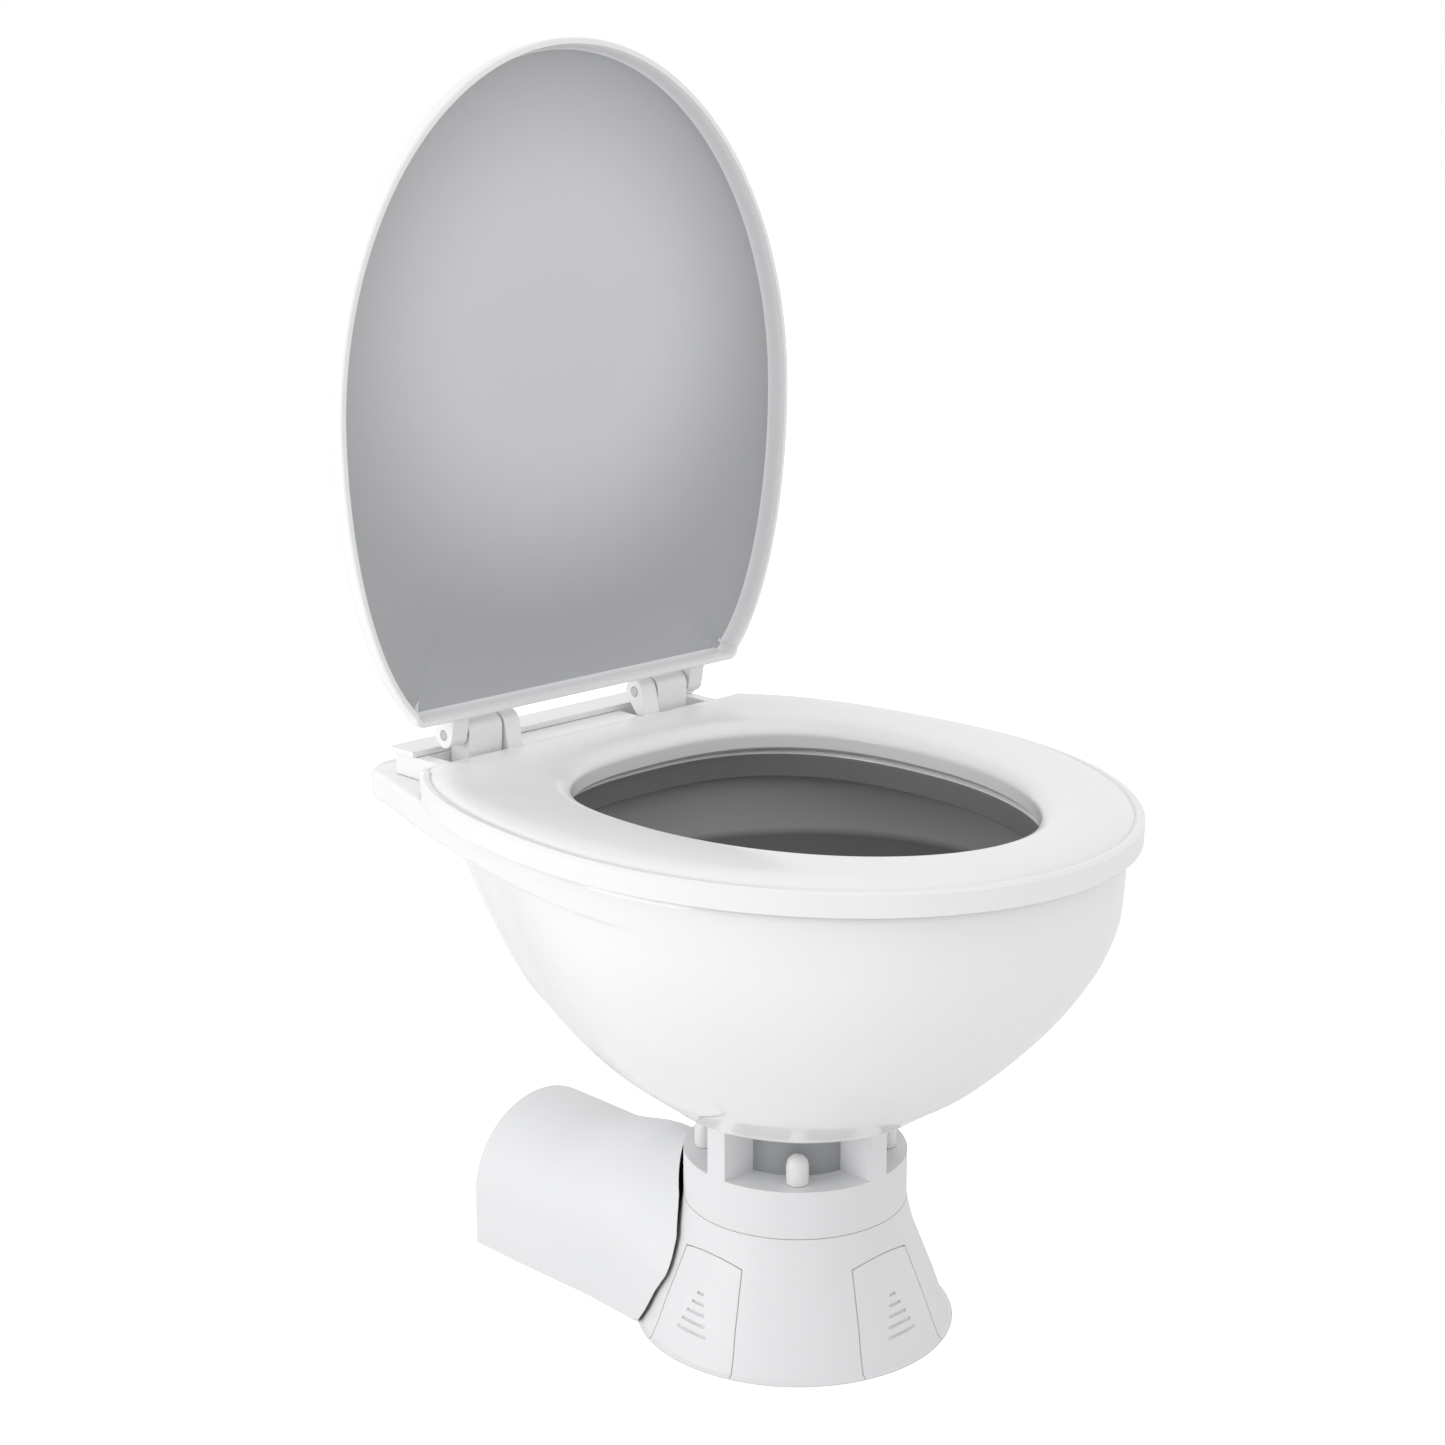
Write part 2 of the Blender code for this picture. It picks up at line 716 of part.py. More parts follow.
def cavity_ring(height_share, reach_share):
    z = blend(SUMP_Z, RIM_Z - RIM_DEPTH, height_share)
    cavity = oval(DECK_OUTLINE, CAVITY_HALF_WIDTH, CAVITY_FRONT, CAVITY_REAR)
    ring = []
    for (x, y), (far_x, far_y, floor) in zip(cavity, round_ring(OUTLET_RADIUS, z)):
        ring.append((*between((far_x, far_y), (x, y), reach_share), floor))
    return ring


def make_bowl():
    opening = oval(DECK_OUTLINE, OPENING_HALF_WIDTH, OPENING_FRONT, OPENING_REAR,
                   HOLE_REAR_POWER_SHARE)
    outer = [bowl_ring(*shares) for shares in BOWL_GROWTH_SHARES]
    rim_edge = bowl_ring(1, 1, 1, RIM_ROUND)
    rim_side = [(x, y, RIM_Z - RIM_ROUND) for x, y, z in bowl_ring(1, 1, 1)]
    inner_edge = [towards(a, b, RIM_ROUND) for a, b in zip(opening, DECK_OUTLINE)]
    rings = outer + [rim_side, rim_edge]
    rings += [level(inner_edge, RIM_Z), level(opening, RIM_Z - RIM_ROUND),
              level(opening, RIM_Z - RIM_DEPTH)]
    rings += [cavity_ring(*shares) for shares in CAVITY_GROWTH_SHARES]
    rings += [round_ring(OUTLET_RADIUS, BOWL_FOOT_Z)]
    bowl = loft("bowl", rings, CERAMIC, closed=True)

    bore_start = INLET_BOSS_END_Y - INLET_BORE_DEPTH
    boss = rod("inlet_boss", INLET_BOSS_RADIUS, bore_start - INLET_BOSS_RADIUS,
               INLET_BOSS_END_Y, axis="Y", centre=(0, 0, INLET_Z))
    join(bowl, boss)
    cut(bowl, rod("inlet_bore", INLET_BORE_RADIUS, bore_start, INLET_BOSS_END_Y + OVERRUN,
                  axis="Y", centre=(0, 0, INLET_Z)),
        rod("inlet_jet", INLET_JET_RADIUS, HOLE_BACK_Y, bore_start + OVERRUN, axis="Y",
            centre=(0, 0, INLET_Z - INLET_BORE_RADIUS + INLET_JET_RADIUS)))
    for side in (-1, 1):
        x = side * DECK_BOLT_X
        cut(bowl, rod(f"deck_hole_{side}", DECK_HOLE_RADIUS, DECK_NUT_SEAT_Z - OVERRUN,
                      RIM_Z + OVERRUN, centre=(x, DECK_BOLT_Y, 0)))
        cut(bowl, rod(f"deck_nut_seat_{side}", WASHER_RADIUS + OVERRUN / 2,
                      DECK_NUT_SEAT_Z - DECK_CORNER * 2, DECK_NUT_SEAT_Z,
                      centre=(x, DECK_BOLT_Y, 0)))
    for i in range(4):
        turn = pi / 2 * i
        place_at = (TIE_CIRCLE_RADIUS * cos(turn), TIE_CIRCLE_RADIUS * sin(turn), 0)
        cut(bowl, rod(f"bowl_bolt_hole_{i}", TIE_RADIUS + FIT, BOWL_FOOT_Z - OVERRUN,
                      BOWL_FOOT_Z + BOWL_BOLT_DEPTH + FIT, centre=place_at,
                      steps=SMALL_ROUND_STEPS))
    return bowl


# Base


def foot_profile(inset=0):
    """The outer side of foot and ring from the top down, as (radius, height)."""
    flare = FOOT_RADIUS - RING_RADIUS
    rows = [(RING_RADIUS + flare * radius_share - inset, FOOT_TOP_Z * height_share)
            for height_share, radius_share in FOOT_FLARE_SHARES]
    return rows[::-1]


def make_foot_skin(name, material, inset=0):
    """The flared shell of the foot with its top flange."""
    outside = foot_profile(inset)
    inside = [(radius - FOOT_WALL, height) for radius, height in foot_profile(inset)]
    inside[0] = (inside[0][0], FOOT_TOP_Z - FOOT_FLANGE)
    profile = [(FOOT_FLANGE_BORE, FOOT_TOP_Z)] + outside + inside[::-1]
    profile += [(FOOT_FLANGE_BORE, FOOT_TOP_Z - FOOT_FLANGE)]
    return turned(name, profile, material, steps=FINE_ROUND_STEPS)


def cover_outline(seam):
    """A screw cover seen square on: sloping sides and an arched top."""
    low = -OVERRUN
    half_top = COVER_TOP_HALF_WIDTH + seam
    half_foot = COVER_FOOT_HALF_WIDTH + seam
    arch = []
    steps = 6
    for i in range(steps + 1):
        across = 1 - 2 * i / steps
        arch.append((half_top * across, COVER_TOP_Z + seam + COVER_ARCH * (1 - across * across)))
    return [(-half_foot, low), (half_foot, low)] + arch


def turn_to(thing, angle):
    thing.matrix_world = Matrix.Rotation(angle, 4, "Z") @ thing.matrix_world
    return thing


def tie_places(offset):
    return [(TIE_CIRCLE_RADIUS * cos(pi / 2 * i + offset),
             TIE_CIRCLE_RADIUS * sin(pi / 2 * i + offset), 0) for i in range(4)]


COVER_SIDES = (("front", 0, 1), ("left", -pi / 2, -1), ("right", pi / 2, 1))


def make_foot():
    foot = make_foot_skin("foot", BASE_WHITE)
    for side, angle, _ in COVER_SIDES:
        window = plate(f"{side}_cover_window", cover_outline(COVER_SEAM),
                       -FOOT_RADIUS - OVERRUN, -RING_RADIUS + FOOT_WALL * 2, "XZ")
        cut(foot, turn_to(window, angle))
    half = ROUND_STEPS // 2
    arch = [(MOTOR_X + x, PUMP_Z + z) for x, z in circle((0, 0), NOTCH_RADIUS)[:half + 1]]
    arch += [(MOTOR_X - NOTCH_RADIUS, -OVERRUN), (MOTOR_X + NOTCH_RADIUS, -OVERRUN)]
    cut(foot, plate("pump_notch", arch, HOUSING_BACK_Y / 2, FOOT_RADIUS + OVERRUN, "XZ"))
    cut(foot, rod("discharge_hole", DISCHARGE_RADIUS + RUNNING_FIT * 2,
                  DISCHARGE_START_Y - RUNNING_FIT * 3, FOOT_RADIUS + OVERRUN,
                  axis="Y", centre=(DISCHARGE_X, 0, PUMP_Z)))
    for i, where in enumerate(tie_places(pi / 4)):
        cut(foot, rod(f"foot_tie_hole_{i}", TIE_RADIUS + FIT, FOOT_TOP_Z - FOOT_FLANGE - OVERRUN,
                      FOOT_TOP_Z + OVERRUN, centre=where, steps=SMALL_ROUND_STEPS))
    return foot


def make_screw_covers():
    for side, angle, hand in COVER_SIDES:
        cover = make_foot_skin(f"{side}_screw_cover", BASE_WHITE)
        patch = plate(f"{side}_cover_patch", cover_outline(0),
                      -FOOT_RADIUS - OVERRUN, -RING_RADIUS + FOOT_WALL * 3, "XZ")
        keep(cover, turn_to(patch, angle))
        for row in range(GRIP_COUNT):
            z = GRIP_LOW_Z + GRIP_PITCH * row
            length = blend(GRIP_LONGEST, GRIP_SHORTEST, row / (GRIP_COUNT - 1))
            depth_y = -foot_radius_at(z) + GRIP_SLOT
            ends = sorted((0, hand * length))
            slot = box(f"{side}_grip_{row}", (ends[0], -FOOT_RADIUS - OVERRUN, z),
                       (ends[1], depth_y, z + GRIP_SLOT))
            cut(cover, turn_to(slot, angle))


def foot_radius_at(z):
    rows = foot_profile()
    for (r_high, z_high), (r_low, z_low) in zip(rows, rows[1:]):
        if z_low <= z <= z_high:
            return blend(r_low, r_high, (z - z_low) / (z_high - z_low))
    return rows[-1][0]


def make_base_plate():
    """The floor plate: a disc inside the foot, a neck through it and a motor tray."""
    seam = COVER_SEAM * 2
    disc = foot_radius_at(BASE_PLATE) - FOOT_WALL - seam
    base = rod("base_plate", disc, 0, BASE_PLATE, BASE_WHITE, steps=FINE_ROUND_STEPS)
    back = HOOD_BACK_Y - HOOD_WALL - seam
    neck = NOTCH_RADIUS - seam
    tray = HOOD_HALF_WIDTH - HOOD_WALL - HOOD_WAIST - seam
    join(base, box("tray_neck", (MOTOR_X - neck, 0, 0), (MOTOR_X + neck, back, BASE_PLATE)),
         box("motor_tray", (MOTOR_X - tray, FOOT_RADIUS + seam, 0),
             (MOTOR_X + tray, back, BASE_PLATE)))
    return base


def make_collar():
    """The ring that carries the bowl on four posts, with a pocket between each two."""
    bottom = FOOT_TOP_Z + FIT
    inner_low = COLLAR_FLOOR_Z - COLLAR_FLOOR
    profile = (
        (COLLAR_BORE_RADIUS, COLLAR_LIP_Z), (RING_RADIUS, COLLAR_LIP_Z),
        (RING_RADIUS, bottom), (RING_RADIUS - RING_WALL, bottom),
        (RING_RADIUS - RING_WALL, inner_low), (COLLAR_BORE_RADIUS, inner_low),
    )
    collar = turned("collar", profile, BASE_WHITE, steps=FINE_ROUND_STEPS)
    seat_z = BOWL_FOOT_Z - FIT
    cut(collar, rod("bowl_seat_recess", COLLAR_LIP_RADIUS, seat_z, COLLAR_LIP_Z + OVERRUN,
                    steps=FINE_ROUND_STEPS))
    pockets = turned("pockets", ring_profile(COLLAR_TUBE_RADIUS, RING_RADIUS + OVERRUN,
                                             COLLAR_FLOOR_Z, COLLAR_LIP_Z + OVERRUN * 2),
                     steps=FINE_ROUND_STEPS)
    half = POST_WIDTH / 2
    reach = RING_RADIUS + OVERRUN * 2
    low, high = COLLAR_FLOOR_Z - OVERRUN, COLLAR_LIP_Z + OVERRUN * 3
    cut(pockets, box("post_x", (-reach, -half, low), (reach, half, high)),
        box("post_y", (-half, -reach, low), (half, reach, high)))
    cut(collar, pockets)
    for i, where in enumerate(tie_places(pi / 4)):
        cut(collar, rod(f"collar_tie_hole_{i}", TIE_RADIUS + FIT, inner_low - OVERRUN,
                        COLLAR_FLOOR_Z + OVERRUN, centre=where, steps=SMALL_ROUND_STEPS))
    for i, where in enumerate(tie_places(0)):
        cut(collar, rod(f"collar_bolt_hole_{i}", TIE_RADIUS + FIT, inner_low - OVERRUN,
                        COLLAR_LIP_Z + OVERRUN, centre=where, steps=SMALL_ROUND_STEPS))
    return collar


def bolt_profile(radius, head_radius, head_height, low, high):
    """A bolt with its head below."""
    return ((0, high), (radius, high), (radius, low + head_height),
            (head_radius, low + head_height), (head_radius, low), (0, low))


def make_fasteners():
    corner_names = ("rear_right", "rear_left", "front_left", "front_right")
    side_names = ("right", "rear", "left", "front")
    tie_low = FOOT_TOP_Z - FOOT_FLANGE - FIT - TIE_HEAD_HEIGHT
    nut_low = COLLAR_FLOOR_Z + FIT
    tie_high = nut_low + NUT_HEIGHT / 2
    for name, where in zip(corner_names, tie_places(pi / 4)):
        profile = bolt_profile(TIE_RADIUS, TIE_HEAD_RADIUS, TIE_HEAD_HEIGHT, tie_low, tie_high)
        turned(f"tie_bolt_{name}", profile, STEEL, centre=where,
               steps=SMALL_ROUND_STEPS)
        dome = [(NUT_RADIUS * sin(pi / 2 * i / 3), nut_low + NUT_HEIGHT - NUT_RADIUS
                 + NUT_RADIUS * cos(pi / 2 * i / 3)) for i in range(4)]
        bore = TIE_RADIUS + FIT
        profile = dome + [(NUT_RADIUS, nut_low), (bore, nut_low), (bore, tie_high + FIT),
                          (0, tie_high + FIT)]
        turned(f"dome_nut_{name}", profile, GLOSS_WHITE, centre=where)
    bolt_low = COLLAR_FLOOR_Z - COLLAR_FLOOR - FIT - TIE_HEAD_HEIGHT
    for name, where in zip(side_names, tie_places(0)):
        profile = bolt_profile(TIE_RADIUS, TIE_HEAD_RADIUS, TIE_HEAD_HEIGHT, bolt_low,
                               BOWL_FOOT_Z + BOWL_BOLT_DEPTH)
        turned(f"bowl_bolt_{name}", profile, STEEL, centre=where,
               steps=SMALL_ROUND_STEPS)


# Motor cover


def hood_section(y, wall):
    """An arched section of the hood at y, its wall inset by a thickness."""
    flare = smooth_step((HOOD_FLARE_START_Y - y) / (HOOD_FLARE_START_Y - HOOD_FLARE_END_Y))
    narrow = smooth_step((HOOD_NARROW_START_Y - y) / (HOOD_NARROW_START_Y - HOOD_NARROW_END_Y))
    waist = HOOD_WAIST * sin(pi * smooth_step((HOOD_BACK_Y - y) / HOOD_BACK_Y)) ** 2
    top = blend(HOOD_TOP_Z, HOOD_NECK_TOP_Z, flare) - wall
    half = HOOD_HALF_WIDTH - waist - wall
    half_spring = half - HOOD_DRAFT * narrow
    power = blend(HOOD_POWER_SHARE, HOOD_NECK_POWER_SHARE, narrow)
    low = -OVERRUN if wall else 0
    points = [(MOTOR_X + half, low)]
    steps = ROUND_STEPS
    for i in range(steps + 1):
        turn = pi * i / steps
        across = abs(cos(turn)) ** (2 / power) * (1 if turn < pi / 2 else -1)
        rise = sin(turn) ** (2 / power)
        points.append((MOTOR_X + half_spring * across,
                       HOOD_SPRING_Z + (top - HOOD_SPRING_Z) * rise))
    points.append((MOTOR_X - half, low))
    return [(x, y, z) for x, z in points]


def make_motor_cover():
    steps = HOOD_STEPS
    rows = [HOOD_BACK_Y * (1 - i / steps) for i in range(steps)]
    cover = loft("motor_cover", [hood_section(y, 0) for y in rows], BASE_WHITE)
    inner_rows = [HOOD_BACK_Y - HOOD_WALL] + rows[1:]
    cut(cover, loft("hood_hollow", [hood_section(y, HOOD_WALL) for y in inner_rows]))
    seam = [(radius + HOOD_SEAM, height) for radius, height in foot_profile()]
    seam = [(0, BOWL_FOOT_Z), (RING_RADIUS + HOOD_SEAM, BOWL_FOOT_Z)] + seam
    seam += [(seam[-1][0], -OVERRUN * 2), (0, -OVERRUN * 2)]
    cut(cover, turned("foot_clearance", seam, steps=FINE_ROUND_STEPS))
    return cover


# Pump and motor


def make_pump_housing():
    at_pump = {"axis": "Y", "centre": (MOTOR_X, 0, PUMP_Z)}
    housing = rod("pump_housing", HOUSING_RADIUS, HOUSING_FRONT_Y, HOUSING_BACK_Y,
                  PUMP_PLASTIC, **at_pump)
    neck = rod("pump_neck", NECK_RADIUS, NECK_LOW_Z, NECK_TOP_Z, steps=FINE_ROUND_STEPS)
    duct = rod("discharge_duct", DISCHARGE_DUCT_RADIUS,
               MOTOR_X + HOUSING_BORE_RADIUS - HOUSING_BACK_WALL, DISCHARGE_X, axis="X",
               centre=(0, DISCHARGE_DUCT_Y, PUMP_Z))
    spigot = rod("discharge_spigot", DISCHARGE_RADIUS, DISCHARGE_START_Y, DISCHARGE_END_Y,
                 axis="Y", centre=(DISCHARGE_X, 0, PUMP_Z))
    pedestal = box("pump_pedestal",
                   (MOTOR_X - HOUSING_RADIUS / 2, HOUSING_FRONT_Y + FRONT_PLATE, BASE_PLATE + FIT),
                   (MOTOR_X + HOUSING_RADIUS / 2, HOUSING_BACK_Y - FRONT_PLATE,
                    PUMP_Z - HOUSING_BORE_RADIUS + FRONT_PLATE / 2))
    cut(housing,
        rod("seal_seat", SEAL_RADIUS + FIT, HOUSING_BACK_Y - HOUSING_BACK_WALL - OVERRUN,
            HOUSING_BACK_Y + OVERRUN, steps=ROUND_STEPS, **at_pump))
    join(housing, neck, duct, spigot, pedestal)
    cut(housing,
        rod("chamber", HOUSING_BORE_RADIUS, HOUSING_FRONT_Y - OVERRUN,
            HOUSING_BACK_Y - HOUSING_BACK_WALL, **at_pump),
        rod("neck_bore", NECK_BORE_RADIUS, NECK_LOW_Z + NECK_FLOOR, NECK_TOP_Z + OVERRUN,
            steps=FINE_ROUND_STEPS),
        rod("duct_bore", DISCHARGE_BORE_RADIUS, MOTOR_X + HOUSING_BORE_RADIUS / 2,
            DISCHARGE_X + DISCHARGE_BORE_RADIUS, axis="X",
            centre=(0, DISCHARGE_DUCT_Y, PUMP_Z)),
        rod("spigot_bore", DISCHARGE_BORE_RADIUS, DISCHARGE_DUCT_Y - DISCHARGE_BORE_RADIUS / 3,
            DISCHARGE_END_Y + OVERRUN, axis="Y", centre=(DISCHARGE_X, 0, PUMP_Z)))
    front_end = HOUSING_FRONT_Y - FIT
    turned("pump_front_plate",
           ((0, front_end), (HOUSING_RADIUS, front_end), (HOUSING_RADIUS, front_end - FRONT_PLATE),
            (0, front_end - FRONT_PLATE)), PUMP_PLASTIC, **at_pump)
    turned("bowl_gasket", ring_profile(OUTLET_RADIUS, GASKET_RADIUS, NECK_TOP_Z + FIT,
                                       BOWL_FOOT_Z - FIT), RUBBER, steps=FINE_ROUND_STEPS)
    turned("shaft_seal", ring_profile(SHAFT_RADIUS + FIT, SEAL_RADIUS,
                                      HOUSING_BACK_Y - HOUSING_BACK_WALL, HOUSING_BACK_Y),
           RUBBER, steps=ROUND_STEPS, **at_pump)
    chopper = turned("chopper_plate", ring_profile(
        SHAFT_RADIUS + RUNNING_FIT, HOUSING_BORE_RADIUS - FIT, CHOPPER_Y,
        CHOPPER_Y + CHOPPER_PLATE), STEEL, **at_pump)
    hole_circle = blend(SHAFT_RADIUS, HOUSING_BORE_RADIUS, CHOPPER_RING_SHARE)
    for i in range(CHOPPER_HOLES):
        turn = 2 * pi * (i + CHOPPER_TURN_SHARE) / CHOPPER_HOLES
        centre = (MOTOR_X + hole_circle * cos(turn), 0, PUMP_Z + hole_circle * sin(turn))
        cut(chopper, rod(f"chopper_hole_{i}", CHOPPER_HOLE_RADIUS, CHOPPER_Y - OVERRUN,
                         CHOPPER_Y + CHOPPER_PLATE + OVERRUN, axis="Y", centre=centre,
                         steps=SMALL_ROUND_STEPS))


def make_rotor(axle):
    at_pump = {"axis": "Y", "centre": (MOTOR_X, 0, PUMP_Z)}
    rod("motor_shaft", SHAFT_RADIUS, SHAFT_FRONT_Y, SHAFT_BACK_Y, STEEL, axle, steps=ROUND_STEPS,
        **at_pump)
    bore = SHAFT_RADIUS + FIT
    plate_front = IMPELLER_BACK_Y - VANE_THICKNESS
    impeller = turned("impeller", (
        (bore, IMPELLER_BACK_Y), (IMPELLER_RADIUS, IMPELLER_BACK_Y),
        (IMPELLER_RADIUS, plate_front), (IMPELLER_HUB_RADIUS, plate_front),
        (IMPELLER_HUB_RADIUS, IMPELLER_FRONT_Y), (bore, IMPELLER_FRONT_Y)),
        PALE_PLASTIC, axle, **at_pump)
    half = VANE_THICKNESS / 2
    for i in range(VANE_COUNT):
        turn = Matrix.Rotation(2 * pi * (i + VANE_TURN_SHARE) / VANE_COUNT, 4, "Y")
        vane = box(f"vane_{i}", (IMPELLER_HUB_RADIUS - VANE_THICKNESS,
                                 IMPELLER_FRONT_Y + half, -half),
                   (IMPELLER_RADIUS - half, plate_front + half, half),
                   where=Matrix.Translation((MOTOR_X, 0, PUMP_Z)) @ turn)
        join(impeller, vane)
    blade = turned("macerator_blade", ring_profile(bore, BLADE_HUB_RADIUS, BLADE_Y,
                                                   BLADE_Y + BLADE_THICKNESS * 2),
                   STEEL, axle, **at_pump)
    reach, half = BLADE_REACH, BLADE_WIDTH / 2
    tip = half / 3
    outline = [(MOTOR_X - reach, PUMP_Z - tip), (MOTOR_X, PUMP_Z - half),
               (MOTOR_X + reach, PUMP_Z + tip - half), (MOTOR_X + reach, PUMP_Z + tip),
               (MOTOR_X, PUMP_Z + half), (MOTOR_X - reach, PUMP_Z + half - tip)]
    knife = plate("knife", outline, BLADE_Y, BLADE_Y + BLADE_THICKNESS, "XZ")
    join(blade, knife)
    cut(blade, rod("blade_bore", bore, BLADE_Y - OVERRUN, BLADE_Y + BLADE_THICKNESS * 2 + OVERRUN,
                   **at_pump))


def make_motor():
    at_pump = {"axis": "Y", "centre": (MOTOR_X, 0, PUMP_Z)}
    through = SHAFT_RADIUS + RUNNING_FIT
    front = BRACKET_FRONT_Y
    turned("motor_bracket", (
        (through, MOTOR_FRONT_Y - FIT), (MOTOR_RADIUS, MOTOR_FRONT_Y - FIT),
        (MOTOR_RADIUS, MOTOR_FRONT_Y - BRACKET_PLATE),
        (BRACKET_RADIUS, MOTOR_FRONT_Y - BRACKET_PLATE), (BRACKET_RADIUS, front),
        (SEAL_RADIUS, front), (SEAL_RADIUS, MOTOR_FRONT_Y - BRACKET_PLATE * 2),
        (through, MOTOR_FRONT_Y - BRACKET_PLATE * 2)), PUMP_PLASTIC, **at_pump)
    round_edge = MOTOR_RADIUS - FOOT_WALL
    motor = turned("motor_body", (
        (through, MOTOR_BACK_Y), (MOTOR_RADIUS, MOTOR_BACK_Y), (MOTOR_RADIUS, MOTOR_FRONT_Y),
        (through, MOTOR_FRONT_Y)), MOTOR_PAINT, **at_pump)
    saddle = box("motor_saddle",
                 (MOTOR_X - MOTOR_RADIUS / 2, MOTOR_FRONT_Y + BRACKET_PLATE, BASE_PLATE + FIT),
                 (MOTOR_X + MOTOR_RADIUS / 2, MOTOR_BACK_Y - BRACKET_PLATE,
                  PUMP_Z - MOTOR_RADIUS / 2))
    join(motor, saddle)
    back = MOTOR_BACK_Y + FIT
    end = back + MOTOR_CAP_LENGTH
    turned("motor_end_cap", (
        (0, end), (round_edge - FOOT_WALL, end), (round_edge, end - FOOT_WALL),
        (round_edge, back), (through + FIT, back), (through + FIT, end - FOOT_WALL),
        (0, end - FOOT_WALL)), PUMP_PLASTIC, **at_pump)


# Discharge and rinse-water fittings


def bend_points(start, run_end, turn_centre, first, second, radius, end, steps=5):
    """Points of a pipe with one bend: a straight, a quarter turn and a straight."""
    points = [Vector(start), Vector(run_end)]
    for i in range(1, steps):
        turn = pi / 2 * i / steps
        points.append(Vector(turn_centre) + Vector(first) * radius * cos(turn)
                      + Vector(second) * radius * sin(turn))
    last_turn = Vector(turn_centre) + Vector(second) * radius
    return points + [last_turn, Vector(end)]


def make_discharge(swivel):
    at_spigot = {"axis": "Y", "centre": (DISCHARGE_X, 0, PUMP_Z)}
    valve_y = DISCHARGE_END_Y + FIT
    valve_end = valve_y + VALVE_FLANGE
    slit = VALVE_TIP_RADIUS / 3
    turned("joker_valve", (
        (slit, valve_end + VALVE_LENGTH), (VALVE_TIP_RADIUS, valve_end + VALVE_LENGTH),
        (VALVE_ROOT_RADIUS, valve_end), (DISCHARGE_RADIUS - FIT, valve_end),
        (DISCHARGE_RADIUS - FIT, valve_y), (VALVE_ROOT_RADIUS - VALVE_FLANGE, valve_y)),
        RUBBER, **at_spigot)
    flange_y = valve_end + FIT
    flange_end = flange_y + ELBOW_FLANGE
    run_end = flange_end + ELBOW_RUN
    bend = ELBOW_BEND_RADIUS
    start = (DISCHARGE_X, flange_y, PUMP_Z)
    turn_centre = (DISCHARGE_X + bend, run_end, PUMP_Z)
    end = (DISCHARGE_X + bend + ELBOW_REACH, run_end + bend, PUMP_Z)
    path = bend_points(start, (DISCHARGE_X, run_end, PUMP_Z), turn_centre, (-1, 0, 0),
                       (0, 1, 0), bend, end)
    elbow = pipe("discharge_elbow", path, ELBOW_RADIUS, BASE_WHITE, swivel)
    flange = rod("elbow_flange", ELBOW_FLANGE_RADIUS, flange_y, flange_end, **at_spigot)
    join(elbow, flange)
    barb_x = end[0] - WALL_STEP
    tube = ELBOW_RADIUS + WALL_STEP
    rows = []
    for i in range(BARB_COUNT):
        rows += [(tube, barb_x - BARB_PITCH * i),
                 (tube + BARB_HEIGHT, barb_x - BARB_PITCH * (i + BARB_SLOPE_SHARE))]
    low = barb_x - BARB_PITCH * BARB_COUNT
    profile = [(0, barb_x)] + rows + [(tube, low), (0, low)]
    join(elbow, turned("elbow_barbs", profile, axis="X", centre=(0, end[1], PUMP_Z)))
    over = Vector((OVERRUN, 0, 0))
    bore_path = [path[0] - Vector((0, OVERRUN, 0))] + path[1:-1] + [path[-1] + over]
    cut(elbow, pipe("elbow_bore", bore_path, ELBOW_BORE_RADIUS))

    nut_end = flange_end + FIT + VALVE_FLANGE
    nut_start = nut_end - UNION_NUT_LENGTH
    turned("union_nut", (
        (ELBOW_RADIUS + RUNNING_FIT, nut_end), (UNION_NUT_RADIUS, nut_end),
        (UNION_NUT_RADIUS, nut_start), (DISCHARGE_RADIUS + FIT, nut_start),
        (DISCHARGE_RADIUS + FIT, flange_y), (ELBOW_FLANGE_RADIUS + FIT, flange_y),
        (ELBOW_FLANGE_RADIUS + FIT, flange_end + FIT),
        (ELBOW_RADIUS + RUNNING_FIT, flange_end + FIT)), BASE_WHITE, **at_spigot)


def make_rinse_inlet(swivel):
    at_inlet = {"axis": "Y", "centre": (0, 0, INLET_Z)}
    inner_end = INLET_BOSS_END_Y - GROMMET_DEPTH
    flange_y = INLET_BOSS_END_Y + FIT
    grommet_bore = INLET_PIPE_RADIUS + FIT
    turned("inlet_grommet", (
        (grommet_bore, flange_y + GROMMET_FLANGE), (GROMMET_FLANGE_RADIUS, flange_y + GROMMET_FLANGE),
        (GROMMET_FLANGE_RADIUS, flange_y), (INLET_BORE_RADIUS - FIT, flange_y),
        (INLET_BORE_RADIUS - FIT, inner_end), (grommet_bore, inner_end)), RUBBER, **at_inlet)
    run_end = flange_y + GROMMET_FLANGE + INLET_RUN
    bend = INLET_BEND_RADIUS
    path = bend_points((0, inner_end, INLET_Z), (0, run_end, INLET_Z),
                       (0, run_end, INLET_Z - bend), (0, 0, 1), (0, 1, 0), bend,
                       (0, run_end + bend, INLET_Z - bend - INLET_DROP))
    elbow = pipe("inlet_elbow", path, INLET_PIPE_RADIUS, BASE_WHITE, swivel)
    stop_y = flange_y + GROMMET_FLANGE + FIT
    join(elbow, rod("inlet_stop", INLET_PIPE_RADIUS + GROMMET_FLANGE, stop_y,
                    stop_y + GROMMET_FLANGE, **at_inlet))
    bore_path = [path[0] - Vector((0, OVERRUN, 0))] + path[1:-1]
    bore_path += [path[-1] - Vector((0, 0, OVERRUN))]
    cut(elbow, pipe("inlet_elbow_bore", bore_path, INLET_PIPE_BORE_RADIUS))


# Seat


